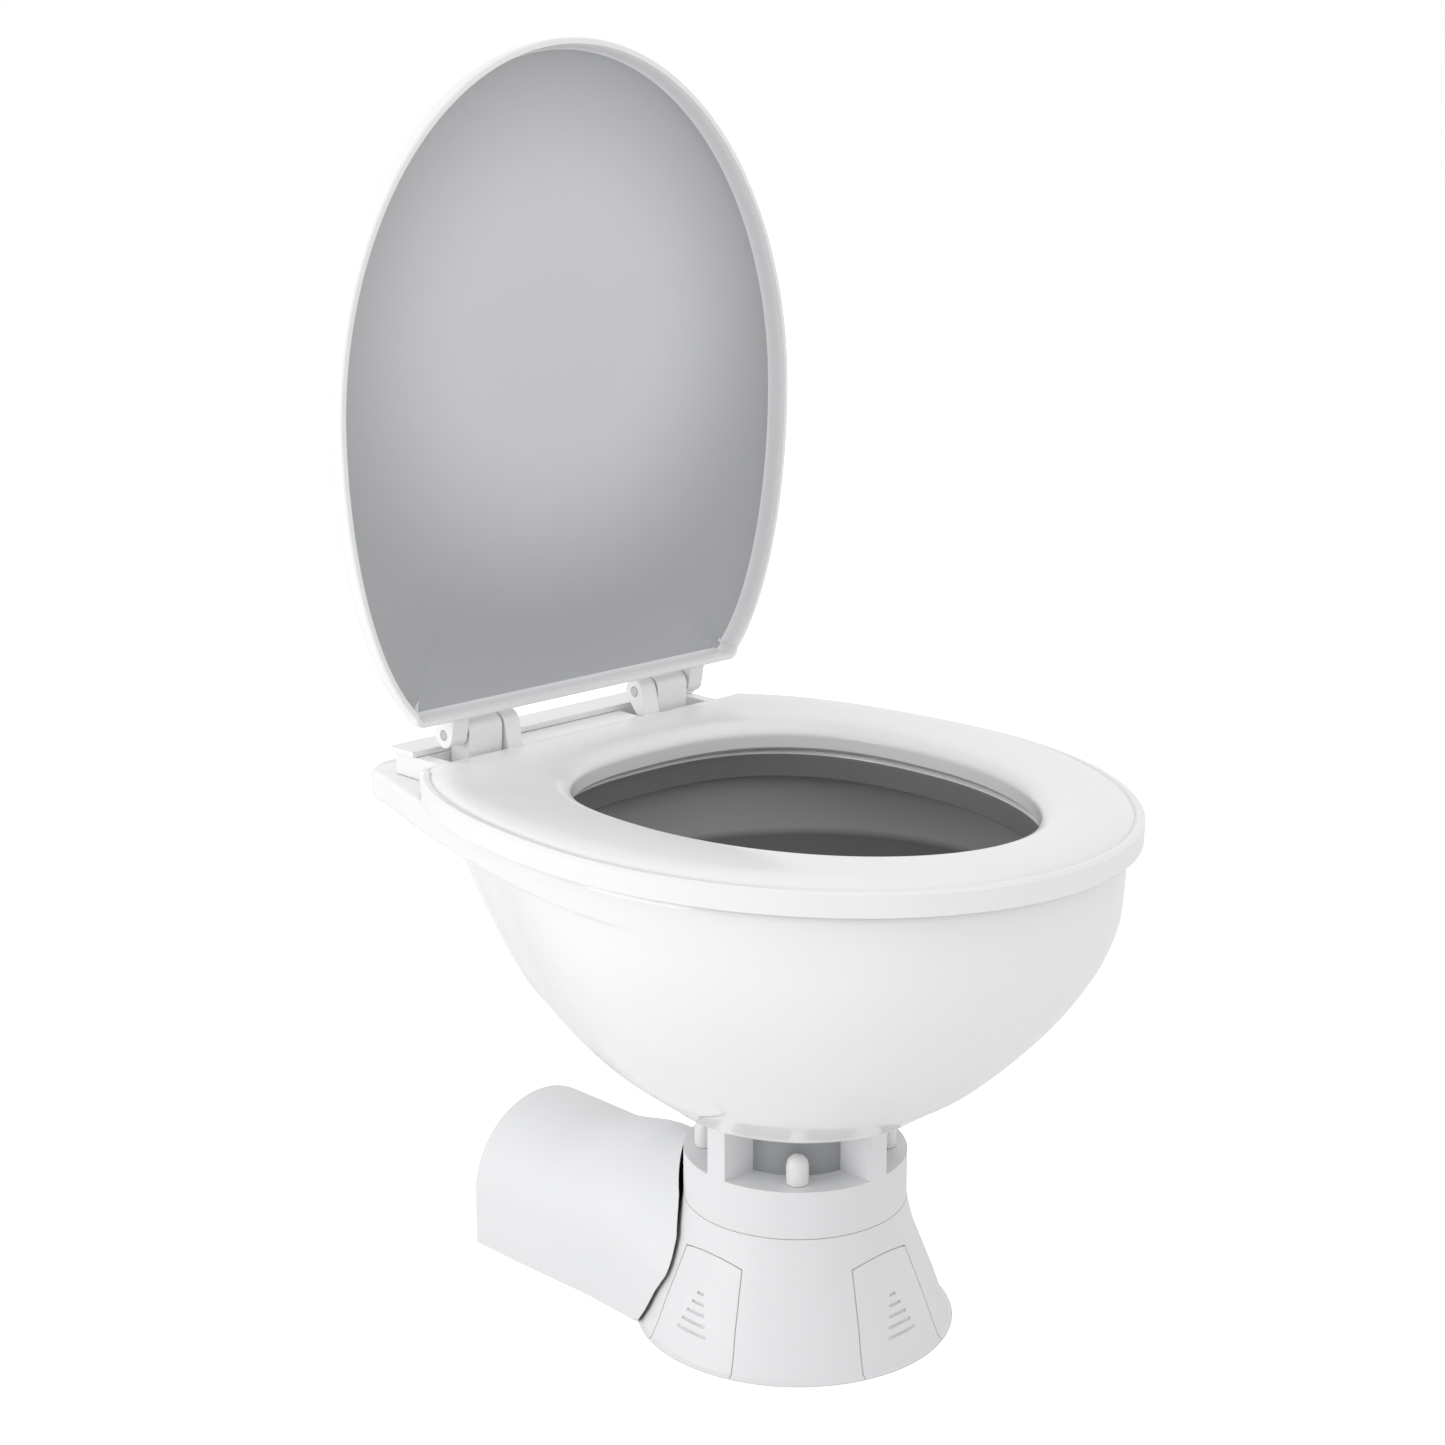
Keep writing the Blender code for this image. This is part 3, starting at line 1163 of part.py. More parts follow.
def seat_rings():
    """The seat's section as rings, from its outer lower edge over the top and back."""
    rows = []
    edge_round = SEAT_WALL / 2

    def from_edge(distance, z):
        rows.append(level(inset(SEAT_OUTLINE, HOLE_OUTLINE, distance), z))

    def from_hole(distance, z):
        rows.append([(*towards(b, a, distance), z) for a, b in zip(SEAT_OUTLINE, HOLE_OUTLINE)])

    crown_rise = SEAT_CROWN_Z - SEAT_SHOULDER_Z
    ceiling = SEAT_CROWN_Z - SEAT_WALL
    from_edge(0, SEAT_BAND_Z)
    from_edge(0, SEAT_SHOULDER_Z - edge_round)
    from_edge(edge_round, SEAT_SHOULDER_Z)
    from_edge(SEAT_SHOULDER, SEAT_SHOULDER_Z)
    from_edge(SEAT_SHOULDER * 3, SEAT_CROWN_Z - crown_rise / 8)
    rows.append([(*between(a, b, SEAT_CROWN_SHARE), SEAT_CROWN_Z)
                 for a, b in zip(SEAT_OUTLINE, HOLE_OUTLINE)])
    from_hole(SEAT_HOLE_ROUND, SEAT_CROWN_Z - crown_rise / 6)
    from_hole(SEAT_HOLE_ROUND / 3, SEAT_SHOULDER_Z + crown_rise / 6)
    from_hole(0, SEAT_SHOULDER_Z - SEAT_HOLE_ROUND / 3)
    from_hole(0, SEAT_BAND_Z + edge_round)
    from_hole(edge_round, SEAT_BAND_Z)
    from_hole(SEAT_WALL, SEAT_BAND_Z)
    from_hole(SEAT_HOLE_ROUND + SEAT_WALL, ceiling - crown_rise / 2)
    from_edge(SEAT_SHOULDER * 3, ceiling - crown_rise / 2)
    from_edge(SEAT_WALL, SEAT_BAND_Z)
    return rows


def pad_places():
    """Middle and direction of each seat pad, on the middle of the ring."""
    places = []
    for name, angle in (("front", FRONT_PAD_ANGLE), ("rear", REAR_PAD_ANGLE)):
        for side, hand in (("left", -1), ("right", 1)):
            direction = (hand * cos(angle), sin(angle))
            outer = reach_along(SEAT_OUTLINE, direction)
            inner = reach_along(HOLE_OUTLINE, direction)
            middle = (outer + inner) / 2
            centre = (direction[0] * middle, HOLE_CENTRE_Y + direction[1] * middle)
            places.append((f"{name}_{side}", centre, atan2(direction[1], direction[0]) + pi / 2))
    return places


def reach_along(outline, direction):
    """Distance from the hole's centre to an outline, along a direction."""
    best = max(outline, key=lambda p: (p[0] * direction[0] + (p[1] - HOLE_CENTRE_Y) * direction[1])
               / hypot(p[0], p[1] - HOLE_CENTRE_Y))
    return hypot(best[0], best[1] - HOLE_CENTRE_Y)


def lug_outline(low_z, high_z, root_y):
    """A lug from the edge of seat or lid to a knuckle on the hinge axis."""
    knuckle = circle((HINGE_Y, HINGE_Z), KNUCKLE_RADIUS, ROUND_STEPS)
    return hull(knuckle + [(root_y, low_z), (root_y, high_z)])


def make_lug(name, middle_x, low_z, high_z, root_y):
    low, high = middle_x - LUG_LENGTH / 2, middle_x + LUG_LENGTH / 2
    lug = plate(name, lug_outline(low_z, high_z, root_y), low, high, "YZ")
    return cut(lug, pin_hole(f"{name}_bore", middle_x, HINGE_PIN_RADIUS + FIT, LUG_LENGTH))


def pin_hole(name, middle_x, radius, length):
    return rod(name, radius, middle_x - length, middle_x + length, axis="X",
               centre=(0, HINGE_Y, HINGE_Z))


def make_seat(hinge):
    seat = loft("seat", seat_rings(), GLOSS_WHITE, hinge, closed=True)
    boss_low = RIM_Z + FIT + PAD_HEIGHT + FIT
    half_l, half_w = PAD_LENGTH / 2, PAD_WIDTH / 2
    for name, (x, y), angle in pad_places():
        where = Matrix.Translation((x, y, 0)) @ Matrix.Rotation(angle, 4, "Z")
        boss = box(f"pad_boss_{name}", (-half_l - PAD_FRAME, -half_w - PAD_FRAME, boss_low),
                   (half_l + PAD_FRAME, half_w + PAD_FRAME, SEAT_CROWN_Z - SEAT_WALL / 2),
                   where=where)
        join(seat, boss)
        pad = box(f"seat_pad_{name}", (-half_l, -half_w, RIM_Z + FIT),
                  (half_l, half_w, RIM_Z + FIT + PAD_HEIGHT), PAD_RUBBER, hinge, where)
        bevel = pad.modifiers.new("round", "BEVEL")
        bevel.width = PAD_WIDTH / 4
        bevel.segments = 2
        bevel.affect = "EDGES"
        bevel.limit_method = "WEIGHT"
        set_upright_edges(pad)
    for side, hand in (("left", -1), ("right", 1)):
        middle = hand * SEAT_LUG_X
        lug = make_lug(f"seat_lug_{side}", middle, SEAT_BAND_Z + RUNNING_FIT,
                       SEAT_BAND_Z + SEAT_LUG_ROOT, SEAT_BACK_Y - SEAT_WALL / 2)
        join(seat, lug)
    return seat


def set_upright_edges(thing):
    """Marks the four upright edges of a box for its bevel."""
    mesh = thing.data
    weights = mesh.attributes.new("bevel_weight_edge", "FLOAT", "EDGE")
    for edge, weight in zip(mesh.edges, weights.data):
        a, b = (mesh.vertices[i].co for i in edge.vertices)
        weight.value = 1.0 if abs(a.z - b.z) > FIT else 0.0


# Lid


def lid_rings():
    """The lid from the middle of its top, over the rim, to the middle below."""
    outline = plan(lambda y: seat_side(y) - LID_INSET, SEAT_FRONT + LID_NOSE,
                   SEAT_BACK_Y - RUNNING_FIT, SEAT_SHOULDER)
    middle = [(0, HOLE_CENTRE_Y)] * len(outline)
    depth = LID_TOP_Z - LID_RIM_Z
    rows = []

    def row(distance, z):
        rows.append(level(inset(outline, middle, distance), z))

    def share_row(share, z):
        rows.append([(*between(a, b, share), z) for a, b in zip(outline, middle)])

    lip = LID_WALL / 4
    for inward, share in LID_CROWN_SHARES:
        share_row(inward, LID_TOP_Z - depth * share)
    for inward, share in LID_SIDE_SHARES:
        row(depth * inward, LID_TOP_Z - depth * share)
    row(0, LID_RIM_Z + lip)
    row(lip, LID_RIM_Z)
    row(LID_WALL, LID_RIM_Z)
    for inward, share in LID_INNER_SHARES:
        row(LID_WALL + lip + depth * inward, LID_TOP_Z - depth * share)
    for inward, share in reversed(LID_CROWN_SHARES):
        share_row(inward, LID_TOP_Z - depth * share - LID_WALL)
    return rows


def make_lid(hinge):
    lid = loft("lid", lid_rings(), LID_WHITE, hinge)
    for side, hand in (("left", -1), ("right", 1)):
        middle = hand * LID_LUG_X
        lug = make_lug(f"lid_lug_{side}", middle, LID_RIM_Z + LID_WALL / 2,
                       LID_RIM_Z + LID_LUG_ROOT, SEAT_BACK_Y - LID_WALL)
        join(lid, lug)
    return lid


# Hinge


def make_hinge_block():
    low = RIM_Z + FIT
    block = box("hinge_block", (-BLOCK_HALF_LENGTH, BLOCK_FRONT_Y, low),
                (BLOCK_HALF_LENGTH, BLOCK_BACK_Y, BLOCK_TOP_Z), GLOSS_WHITE)
    recess_low = SEAT_LUG_X - LUG_LENGTH / 2 - RUNNING_FIT * 4
    recess_high = LID_LUG_X + LUG_LENGTH / 2 + RUNNING_FIT * 4
    for side, hand in (("left", -1), ("right", 1)):
        ends = sorted((hand * recess_low, hand * recess_high))
        cut(block, box(f"lug_recess_{side}", (ends[0], BLOCK_FRONT_Y - OVERRUN, TONGUE_Z),
                       (ends[1], TONGUE_BACK_Y, BLOCK_TOP_Z + OVERRUN)))
        knuckle = circle((HINGE_Y, HINGE_Z), KNUCKLE_RADIUS, ROUND_STEPS)
        root = [(BLOCK_FRONT_Y + RUNNING_FIT * 5, low + FIT),
                (TONGUE_BACK_Y, low + FIT)]
        pillar = plate(f"pillar_{side}", hull(knuckle + root),
                       hand * PILLAR_X - PILLAR_LENGTH / 2, hand * PILLAR_X + PILLAR_LENGTH / 2,
                       "YZ")
        join(block, pillar)
        cut(block, pin_hole(f"damper_bore_{side}", hand * PILLAR_X, DAMPER_RADIUS + FIT,
                            PILLAR_LENGTH))
        x = hand * DECK_BOLT_X
        cut(block, rod(f"block_bolt_hole_{side}", DECK_BOLT_RADIUS + FIT, low - OVERRUN,
                       BLOCK_TOP_Z + OVERRUN, centre=(x, DECK_BOLT_Y, 0), steps=ROUND_STEPS))
        cut(block, rod(f"block_head_recess_{side}", DECK_BOLT_HEAD_RADIUS + FIT,
                       BLOCK_TOP_Z - DECK_BOLT_HEAD_HEIGHT - FIT, BLOCK_TOP_Z + OVERRUN,
                       centre=(x, DECK_BOLT_Y, 0), steps=ROUND_STEPS))
    low_cap = BLOCK_TOP_Z + FIT
    end = BLOCK_HALF_LENGTH + CAP_OVERHANG
    outline = [(-end, CAP_FRONT_Y), (end, CAP_FRONT_Y), (end, BLOCK_BACK_Y + CAP_OVERHANG),
               (-end, BLOCK_BACK_Y + CAP_OVERHANG)]
    plate("hinge_cap", outline, low_cap, low_cap + CAP_THICKNESS, "XY", GLOSS_WHITE)
    return block


def make_hinge_fasteners():
    head_low = BLOCK_TOP_Z - DECK_BOLT_HEAD_HEIGHT
    washer_high = DECK_NUT_SEAT_Z - FIT
    washer_low = washer_high - WASHER_THICKNESS
    nut_high = washer_low - FIT
    nut_low = nut_high - WING_NUT_HEIGHT
    for side, hand in (("left", -1), ("right", 1)):
        where = (hand * DECK_BOLT_X, DECK_BOLT_Y, 0)
        turned(f"hinge_bolt_{side}", (
            (0, BLOCK_TOP_Z), (DECK_BOLT_HEAD_RADIUS, BLOCK_TOP_Z),
            (DECK_BOLT_HEAD_RADIUS, head_low), (DECK_BOLT_RADIUS, head_low),
            (DECK_BOLT_RADIUS, nut_low - WING_NUT_HEIGHT / 3),
            (0, nut_low - WING_NUT_HEIGHT / 3)), STEEL, centre=where, steps=ROUND_STEPS)
        bore = DECK_BOLT_RADIUS + FIT
        turned(f"hinge_washer_{side}", ring_profile(bore, WASHER_RADIUS, washer_low, washer_high),
               RUBBER, centre=where, steps=ROUND_STEPS)
        nut = turned(f"wing_nut_{side}", ring_profile(bore, WING_NUT_RADIUS, nut_low, nut_high),
                     PALE_PLASTIC, centre=where, steps=ROUND_STEPS)
        for way in (-1, 1):
            ends = sorted((way * (DECK_BOLT_RADIUS + WING_THICKNESS / 2), way * WING_REACH))
            wing = box(f"wing_{side}_{way}",
                       (ends[0], -WING_THICKNESS / 2, nut_low + FIT),
                       (ends[1], WING_THICKNESS / 2, nut_high - WING_NUT_HEIGHT / 4),
                       where=Matrix.Translation(where))
            join(nut, wing)


def make_dampers(seat_hinge, lid_hinge):
    """One damper for the lid in the left pillar and one for the seat in the right."""
    axis_at = {"axis": "X", "centre": (0, HINGE_Y, HINGE_Z), "steps": ROUND_STEPS}
    inner = PILLAR_X - PILLAR_LENGTH / 2
    outer = PILLAR_X + PILLAR_LENGTH / 2
    lid_end = LID_LUG_X + LUG_LENGTH / 2
    seat_end = SEAT_LUG_X - LUG_LENGTH / 2
    r, pin, step = DAMPER_RADIUS, HINGE_PIN_RADIUS, RUNNING_FIT
    rod("lid_damper", r, -outer + step, -outer + step + DAMPER_LENGTH, PUMP_PLASTIC, **axis_at)
    rod("lid_damper_shaft", pin, -lid_end, -outer, STEEL, lid_hinge, **axis_at)
    turned("seat_hinge_pin", ((0, -seat_end), (pin, -seat_end), (pin, -inner - step),
                              (r, -inner - step),
                              (r, -outer + step * 2 + DAMPER_LENGTH),
                              (0, -outer + step * 2 + DAMPER_LENGTH)), STEEL, **axis_at)
    rod("seat_damper", r, inner + step, inner + step + DAMPER_LENGTH, PUMP_PLASTIC, **axis_at)
    rod("seat_damper_shaft", pin, seat_end, inner, STEEL, seat_hinge, **axis_at)
    turned("lid_hinge_pin", ((0, lid_end), (pin, lid_end), (pin, outer - step), (r, outer - step),
                             (r, inner + step * 2 + DAMPER_LENGTH),
                             (0, inner + step * 2 + DAMPER_LENGTH)), STEEL, **axis_at)


def build():
    seat_hinge = pivot("seat_hinge_axis", (0, HINGE_Y, HINGE_Z))
    lid_hinge = pivot("lid_hinge_axis", (0, HINGE_Y, HINGE_Z))
    axle = pivot("pump_axis", (MOTOR_X, 0, PUMP_Z))
    discharge_swivel = pivot("discharge_swivel_axis", (DISCHARGE_X, DISCHARGE_END_Y, PUMP_Z))
    inlet_swivel = pivot("inlet_swivel_axis", (0, INLET_BOSS_END_Y, INLET_Z))
    make_bowl()
    make_foot()
    make_screw_covers()
    make_base_plate()
    make_collar()
    make_fasteners()
    make_motor_cover()
    make_pump_housing()
    make_rotor(axle)
    make_motor()
    make_discharge(discharge_swivel)
    make_rinse_inlet(inlet_swivel)
    make_seat(seat_hinge)
    make_lid(lid_hinge)
    make_hinge_block()
    make_hinge_fasteners()
    make_dampers(seat_hinge, lid_hinge)
    lid_hinge.rotation_euler.x = -LID_OPEN_ANGLE


build()
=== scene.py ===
"""Looks of the electric marine toilet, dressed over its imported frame.

The shells that show are made again here with fine facets, from the sizes of the
part's source, and every surface gets a procedural material.
"""
import json
from functools import partial
from math import atan2, cos, hypot, pi, radians, sin, sqrt

import bmesh
import bpy
import numpy as np
from mathutils import Matrix, Vector

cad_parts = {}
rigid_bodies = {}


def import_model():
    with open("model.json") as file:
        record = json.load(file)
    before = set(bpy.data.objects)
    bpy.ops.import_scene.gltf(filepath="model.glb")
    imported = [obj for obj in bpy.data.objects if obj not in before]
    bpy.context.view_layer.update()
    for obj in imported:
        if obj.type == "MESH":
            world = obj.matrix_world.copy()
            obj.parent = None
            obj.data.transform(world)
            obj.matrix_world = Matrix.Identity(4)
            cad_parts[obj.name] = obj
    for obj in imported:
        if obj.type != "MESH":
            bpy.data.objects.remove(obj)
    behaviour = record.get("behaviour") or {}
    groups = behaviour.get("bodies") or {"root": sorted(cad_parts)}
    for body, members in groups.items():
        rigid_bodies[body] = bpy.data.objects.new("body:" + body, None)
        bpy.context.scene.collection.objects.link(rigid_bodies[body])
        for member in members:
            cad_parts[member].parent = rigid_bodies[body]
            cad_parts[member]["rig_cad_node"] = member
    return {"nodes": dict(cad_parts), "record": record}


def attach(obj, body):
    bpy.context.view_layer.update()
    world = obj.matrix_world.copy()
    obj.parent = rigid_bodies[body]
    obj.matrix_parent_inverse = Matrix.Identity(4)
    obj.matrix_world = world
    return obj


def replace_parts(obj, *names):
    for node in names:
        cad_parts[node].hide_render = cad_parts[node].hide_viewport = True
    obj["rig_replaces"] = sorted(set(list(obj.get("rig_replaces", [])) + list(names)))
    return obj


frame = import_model()
SCENE = bpy.context.scene
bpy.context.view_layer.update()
SLOTS = {row["node"]: row["material_slot"] for row in frame["record"]["subparts"]}
BODY_OF = {node: body for body, members in frame["record"]["behaviour"]["bodies"].items()
           for node in members}


# Fits
FIT = 0.0003  # between touching pieces that stay put
RUNNING_FIT = 0.0006  # between pieces that move on each other
WIDE_FIT = RUNNING_FIT * 3
OVERRUN = 0.004  # how far a cutter passes the face that it cuts
WELD = 0.00001

# Seat, lid and rim, seen from above
WIDEST_Y = 0.0085  # where seat, lid and bowl are widest
SEAT_WIDTH = 0.368
SEAT_FRONT = 0.219  # from the widest line to the tip
SEAT_BACK_Y = 0.187
SEAT_SIDE_DEPTH = 0.1865  # how far behind the widest line the side would close
SEAT_SIDE_DROP = 0.077  # how far in the side would run there
HOLE_WIDTH = 0.236
HOLE_FRONT_RIM = 0.0555  # ring width at the tip
HOLE_BACK_Y = 0.127
HOLE_CENTRE_Y = 0.004
HOLE_REAR_POWER_SHARE = 2.6  # 2 is an ellipse; more is squarer

# Heights of the stack from the floor to the lid
FOOT_TOP_Z = 0.079
RING_HEIGHT = 0.030  # plain ring of the collar, up to the floor of the pockets
POCKET_HEIGHT = 0.029
BOWL_HEIGHT = 0.182
SEAT_BAND_GAP = 0.0012
SEAT_BAND = 0.0138  # outer edge of the seat
SEAT_RISE = 0.0052  # from the seat's shoulder to its crown
LID_GAP = 0.001
LID_DEPTH = 0.0275
COLLAR_FLOOR_Z = FOOT_TOP_Z + RING_HEIGHT
BOWL_FOOT_Z = COLLAR_FLOOR_Z + POCKET_HEIGHT
RIM_Z = BOWL_FOOT_Z + BOWL_HEIGHT
SEAT_BAND_Z = RIM_Z + SEAT_BAND_GAP
SEAT_SHOULDER_Z = SEAT_BAND_Z + SEAT_BAND
SEAT_CROWN_Z = SEAT_SHOULDER_Z + SEAT_RISE
LID_RIM_Z = SEAT_SHOULDER_Z + LID_GAP
LID_TOP_Z = LID_RIM_Z + LID_DEPTH

# Hinge axis of the seat and the lid, and its knuckles
HINGE_Y = 0.1975
HINGE_RISE = 0.0285  # above the ceramic rim
HINGE_Z = RIM_Z + HINGE_RISE
KNUCKLE_RADIUS = 0.008
HINGE_PIN_RADIUS = 0.003
PILLAR_X = 0.079  # middle of the pillar that holds a damper
PILLAR_LENGTH = 0.026
LUG_LENGTH = 0.012
SEAT_LUG_ROOT = 0.0085  # height of a seat lug where it leaves the seat's back
LID_LUG_ROOT = 0.012
SEAT_LUG_X = PILLAR_X - PILLAR_LENGTH / 2 - LUG_LENGTH / 2 - WIDE_FIT
LID_LUG_X = PILLAR_X + PILLAR_LENGTH / 2 + LUG_LENGTH / 2 + WIDE_FIT
DAMPER_RADIUS = 0.006

# Hinge block on the deck
BLOCK_HALF_LENGTH = 0.117
BLOCK_FRONT_Y = 0.1885
BLOCK_BACK_Y = 0.231
BLOCK_HEIGHT = 0.014
BLOCK_TOP_Z = RIM_Z + BLOCK_HEIGHT
CAP_THICKNESS = 0.0035
CAP_OVERHANG = 0.0025
CAP_FRONT_Y = 0.2105
TONGUE_HEIGHT = 0.0025  # low part of the block under the lugs
TONGUE_Z = RIM_Z + TONGUE_HEIGHT
TONGUE_BACK_Y = 0.2095
DECK_BOLT_X = 0.075
DECK_BOLT_Y = 0.2205
DECK_BOLT_RADIUS = 0.004
DECK_HOLE_RADIUS = 0.0065
DECK_BOLT_HEAD_RADIUS = 0.0075
DECK_BOLT_HEAD_HEIGHT = 0.005
DECK_THICKNESS = 0.020  # at the washers
DECK_NUT_SEAT_Z = RIM_Z - DECK_THICKNESS
WASHER_RADIUS = 0.013

# Ceramic bowl
BOWL_HALF_WIDTH = 0.176
BOWL_FRONT = 0.2090  # from the widest line to the tip
DECK_BACK_Y = 0.262
DECK_BACK_HALF_WIDTH = 0.116
DECK_CORNER = 0.024
BOWL_FOOT_RADIUS = 0.062
OUTLET_RADIUS = 0.032
OPENING_HALF_WIDTH = 0.122
OPENING_FRONT = 0.161  # from the hole's centre line to the front of the opening
OPENING_REAR = 0.130
CAVITY_HALF_WIDTH = 0.160
CAVITY_FRONT = 0.192
CAVITY_REAR = 0.148
RIM_DEPTH = 0.018  # height of the rolled rim's inner face
OUTLET_LENGTH = 0.020
SUMP_Z = BOWL_FOOT_Z + OUTLET_LENGTH  # floor of the sump, where the outlet begins
RIM_ROUND = 0.003

# Rinse-water inlet at the back of the bowl
INLET_DEPTH = 0.040  # below the rim
INLET_Z = RIM_Z - INLET_DEPTH
INLET_BOSS_RADIUS = 0.019
INLET_SETBACK = 0.034  # from the back edge of the deck to the end of the boss
INLET_BOSS_END_Y = DECK_BACK_Y - INLET_SETBACK
INLET_BORE_RADIUS = 0.0125
INLET_BORE_DEPTH = 0.032
INLET_JET_RADIUS = 0.004

# Foot and collar of the base, turned about the outlet axis
FOOT_WALL = 0.003
FOOT_FLANGE = 0.003
FOOT_FLANGE_BORE = 0.046
RING_RADIUS = 0.068
FOOT_RADIUS = 0.0974
RING_WALL = 0.004
COLLAR_FLOOR = 0.008
COLLAR_BORE_RADIUS = 0.0405
COLLAR_TUBE_RADIUS = 0.0445
COLLAR_LIP = 0.0035  # how far the collar grips the ceramic foot ring
COLLAR_LIP_Z = BOWL_FOOT_Z + COLLAR_LIP
COLLAR_LIP_RADIUS = 0.0625
POST_WIDTH = 0.0145
TIE_CIRCLE_RADIUS = 0.0545
TIE_RADIUS = 0.003
BOWL_BOLT_DEPTH = 0.010  # how far it enters the ceramic ring

# Screw covers let into the foot
COVER_TOP_Z = 0.058
COVER_ARCH = 0.0035
COVER_TOP_HALF_WIDTH = 0.0230
COVER_FOOT_HALF_WIDTH = 0.0345
COVER_SEAM = 0.0005
GRIP_SLOT = 0.0016  # height and depth of a grip slot
GRIP_LOW_Z = 0.016
GRIP_PITCH = 0.0055
GRIP_LONGEST = 0.0235
GRIP_SHORTEST = 0.005
GRIP_COUNT = 5

# Motor cover, an arched hood offset to the left of the outlet axis
MOTOR_X = -0.026
HOOD_BACK_Y = 0.208
HOOD_HALF_WIDTH = 0.056
HOOD_SPRING_Z = 0.035  # where the straight walls turn into the arch
HOOD_TOP_Z = 0.091
HOOD_NECK_RISE = 0.0135
HOOD_NECK_TOP_Z = HOOD_TOP_Z + HOOD_NECK_RISE
HOOD_WALL = 0.0025
HOOD_FLARE_START_Y = 0.150
HOOD_FLARE_END_Y = 0.075
HOOD_NARROW_START_Y = 0.125
HOOD_NARROW_END_Y = 0.030
HOOD_DRAFT = 0.0045
HOOD_WAIST = 0.002
HOOD_SEAM = 0.0028
HOOD_POWER_SHARE = 2.0  # 2 is a half round arch
HOOD_NECK_POWER_SHARE = 1.3  # and less is a steeper gable

# Pump and motor on one horizontal axis
PUMP_Z = 0.041
HOUSING_RADIUS = 0.031
HOUSING_BACK_Y = 0.060
NOTCH_RADIUS = HOUSING_RADIUS + WIDE_FIT  # the foot's way round the pump

# Discharge at the right of the hood
DISCHARGE_X = 0.058
DISCHARGE_RADIUS = 0.016
DISCHARGE_START_Y = 0.030

# Seat section
SEAT_WALL = 0.0035
SEAT_SHOULDER = 0.006  # width of the ledge that carries the lid
SEAT_CROWN_START = SEAT_SHOULDER * 3  # from the edge to where the crown rises
SEAT_HOLE_ROUND = 0.012
SEAT_CROWN_SHARE = 0.5  # way from the outline to the hole
PAD_LENGTH = 0.026
PAD_WIDTH = 0.015
PAD_HEIGHT = 0.0036
PAD_FRAME = 0.003  # moulded rim round a pad
REAR_PAD_ANGLE = radians(26)  # towards the back, from the hole's centre
FRONT_PAD_ANGLE = radians(-50)

# Lid section
LID_INSET = 0.0015  # how far the lid's rim lies inside the seat's sides
LID_NOSE = 0.0030  # how far it runs past the seat's tip
LID_WALL = 0.0035

# Faceting
FRONT_STEPS = 40
SIDE_STEPS = 28
CORNER_STEPS = 8
BACK_STEPS = 12
COVER_ARCH_STEPS = 6
ROUND_STEPS = 64
SMALL_ROUND_STEPS = 24
FINE_ROUND_STEPS = 128
HOOD_STEPS = 60

# Shares of the bowl's growth from its foot to its rim: height, front, back
BOWL_GROWTH_SHARES = (
    (0, 0, 0), (0.022, 0, 0), (0.042, 0.15, 0.11), (0.07, 0.205, 0.18),
    (0.115, 0.293, 0.284), (0.176, 0.41, 0.395), (0.25, 0.521, 0.485),
    (0.341, 0.642, 0.55), (0.44, 0.759, 0.6), (0.544, 0.859, 0.648),
    (0.659, 0.944, 0.694), (0.769, 0.989, 0.732), (0.877, 1, 0.765),
    (0.89, 1, 0.965), (0.91, 1, 1),
)

# Shares of the cavity's growth from the outlet to the rim: height, reach
CAVITY_GROWTH_SHARES = (
    (0.99, 1), (0.8, 0.985), (0.56, 0.89), (0.37, 0.725), (0.22, 0.52),
    (0.14, 0.35), (0.04, 0.16), (0, 0),
)
DECK_TAPER_POWER_SHARE = 1.6

# Lid section: way to the middle, drop as a share of the lid's depth
LID_CROWN_SHARES = ((0.94, 0), (0.5, 0.025), (0.24, 0.07))

# Inward as a share of the depth, drop as a share of the depth
LID_SIDE_SHARES = ((0.55, 0.2), (0.2, 0.38), (0.04, 0.6), (0, 0.82))
LID_INNER_SHARES = ((0, 0.9), (0.06, 0.6), (0.3, 0.4))

# Foot profile: height as a share of the foot, radius as a share of the flare
FOOT_FLARE_SHARES = (
    (0, 1), (0.02, 0.91), (0.13, 0.785), (0.31, 0.62), (0.75, 0.155),
    (0.93, 0.038), (1, 0.006),
)
COVER_SIDES = (("front", 0), ("left", -pi / 2), ("right", pi / 2))
SIDES = (("left", -1), ("right", 1))

# Lines, edges and fineness that the scene adds
SEAT_GROOVE = 0.0012  # line between the seat's ledge and its crown
LID_EDGE = 0.0015  # lip of the lid that keeps the outer colour
LID_OPEN_ANGLE = radians(90)
SMOOTH_ANGLE = radians(32)
RING_PITCH = 0.0015  # between the rings that are added to a skin
RINGS_BETWEEN = 5
SHARP_TURN_SHARE = 0.55  # cosine of a turn that stays sharp


# Building blocks

MADE = {}
SHOWN = True  # a shape with this mark stands for a node; others cut or join


def linked(name, data):
    """A new object in the scene."""
    thing = bpy.data.objects.new(name, data)
    SCENE.collection.objects.link(thing)
    return thing


def place(name, shape, shown=False, where=Matrix.Identity(4)):
    """Puts a shape in the scene, with all its faces looking outwards."""
    bmesh.ops.recalc_face_normals(shape, faces=shape.faces)
    mesh = bpy.data.meshes.new(name)
    shape.to_mesh(mesh)
    shape.free()
    thing = linked(name, mesh)
    thing.matrix_world = where
    if shown:
        MADE[name] = thing
    return thing


def applied_mesh(thing):
    """The mesh that an object's curve or modifiers make."""
    bpy.context.view_layer.update()
    graph = bpy.context.evaluated_depsgraph_get()
    return bpy.data.meshes.new_from_object(thing.evaluated_get(graph))


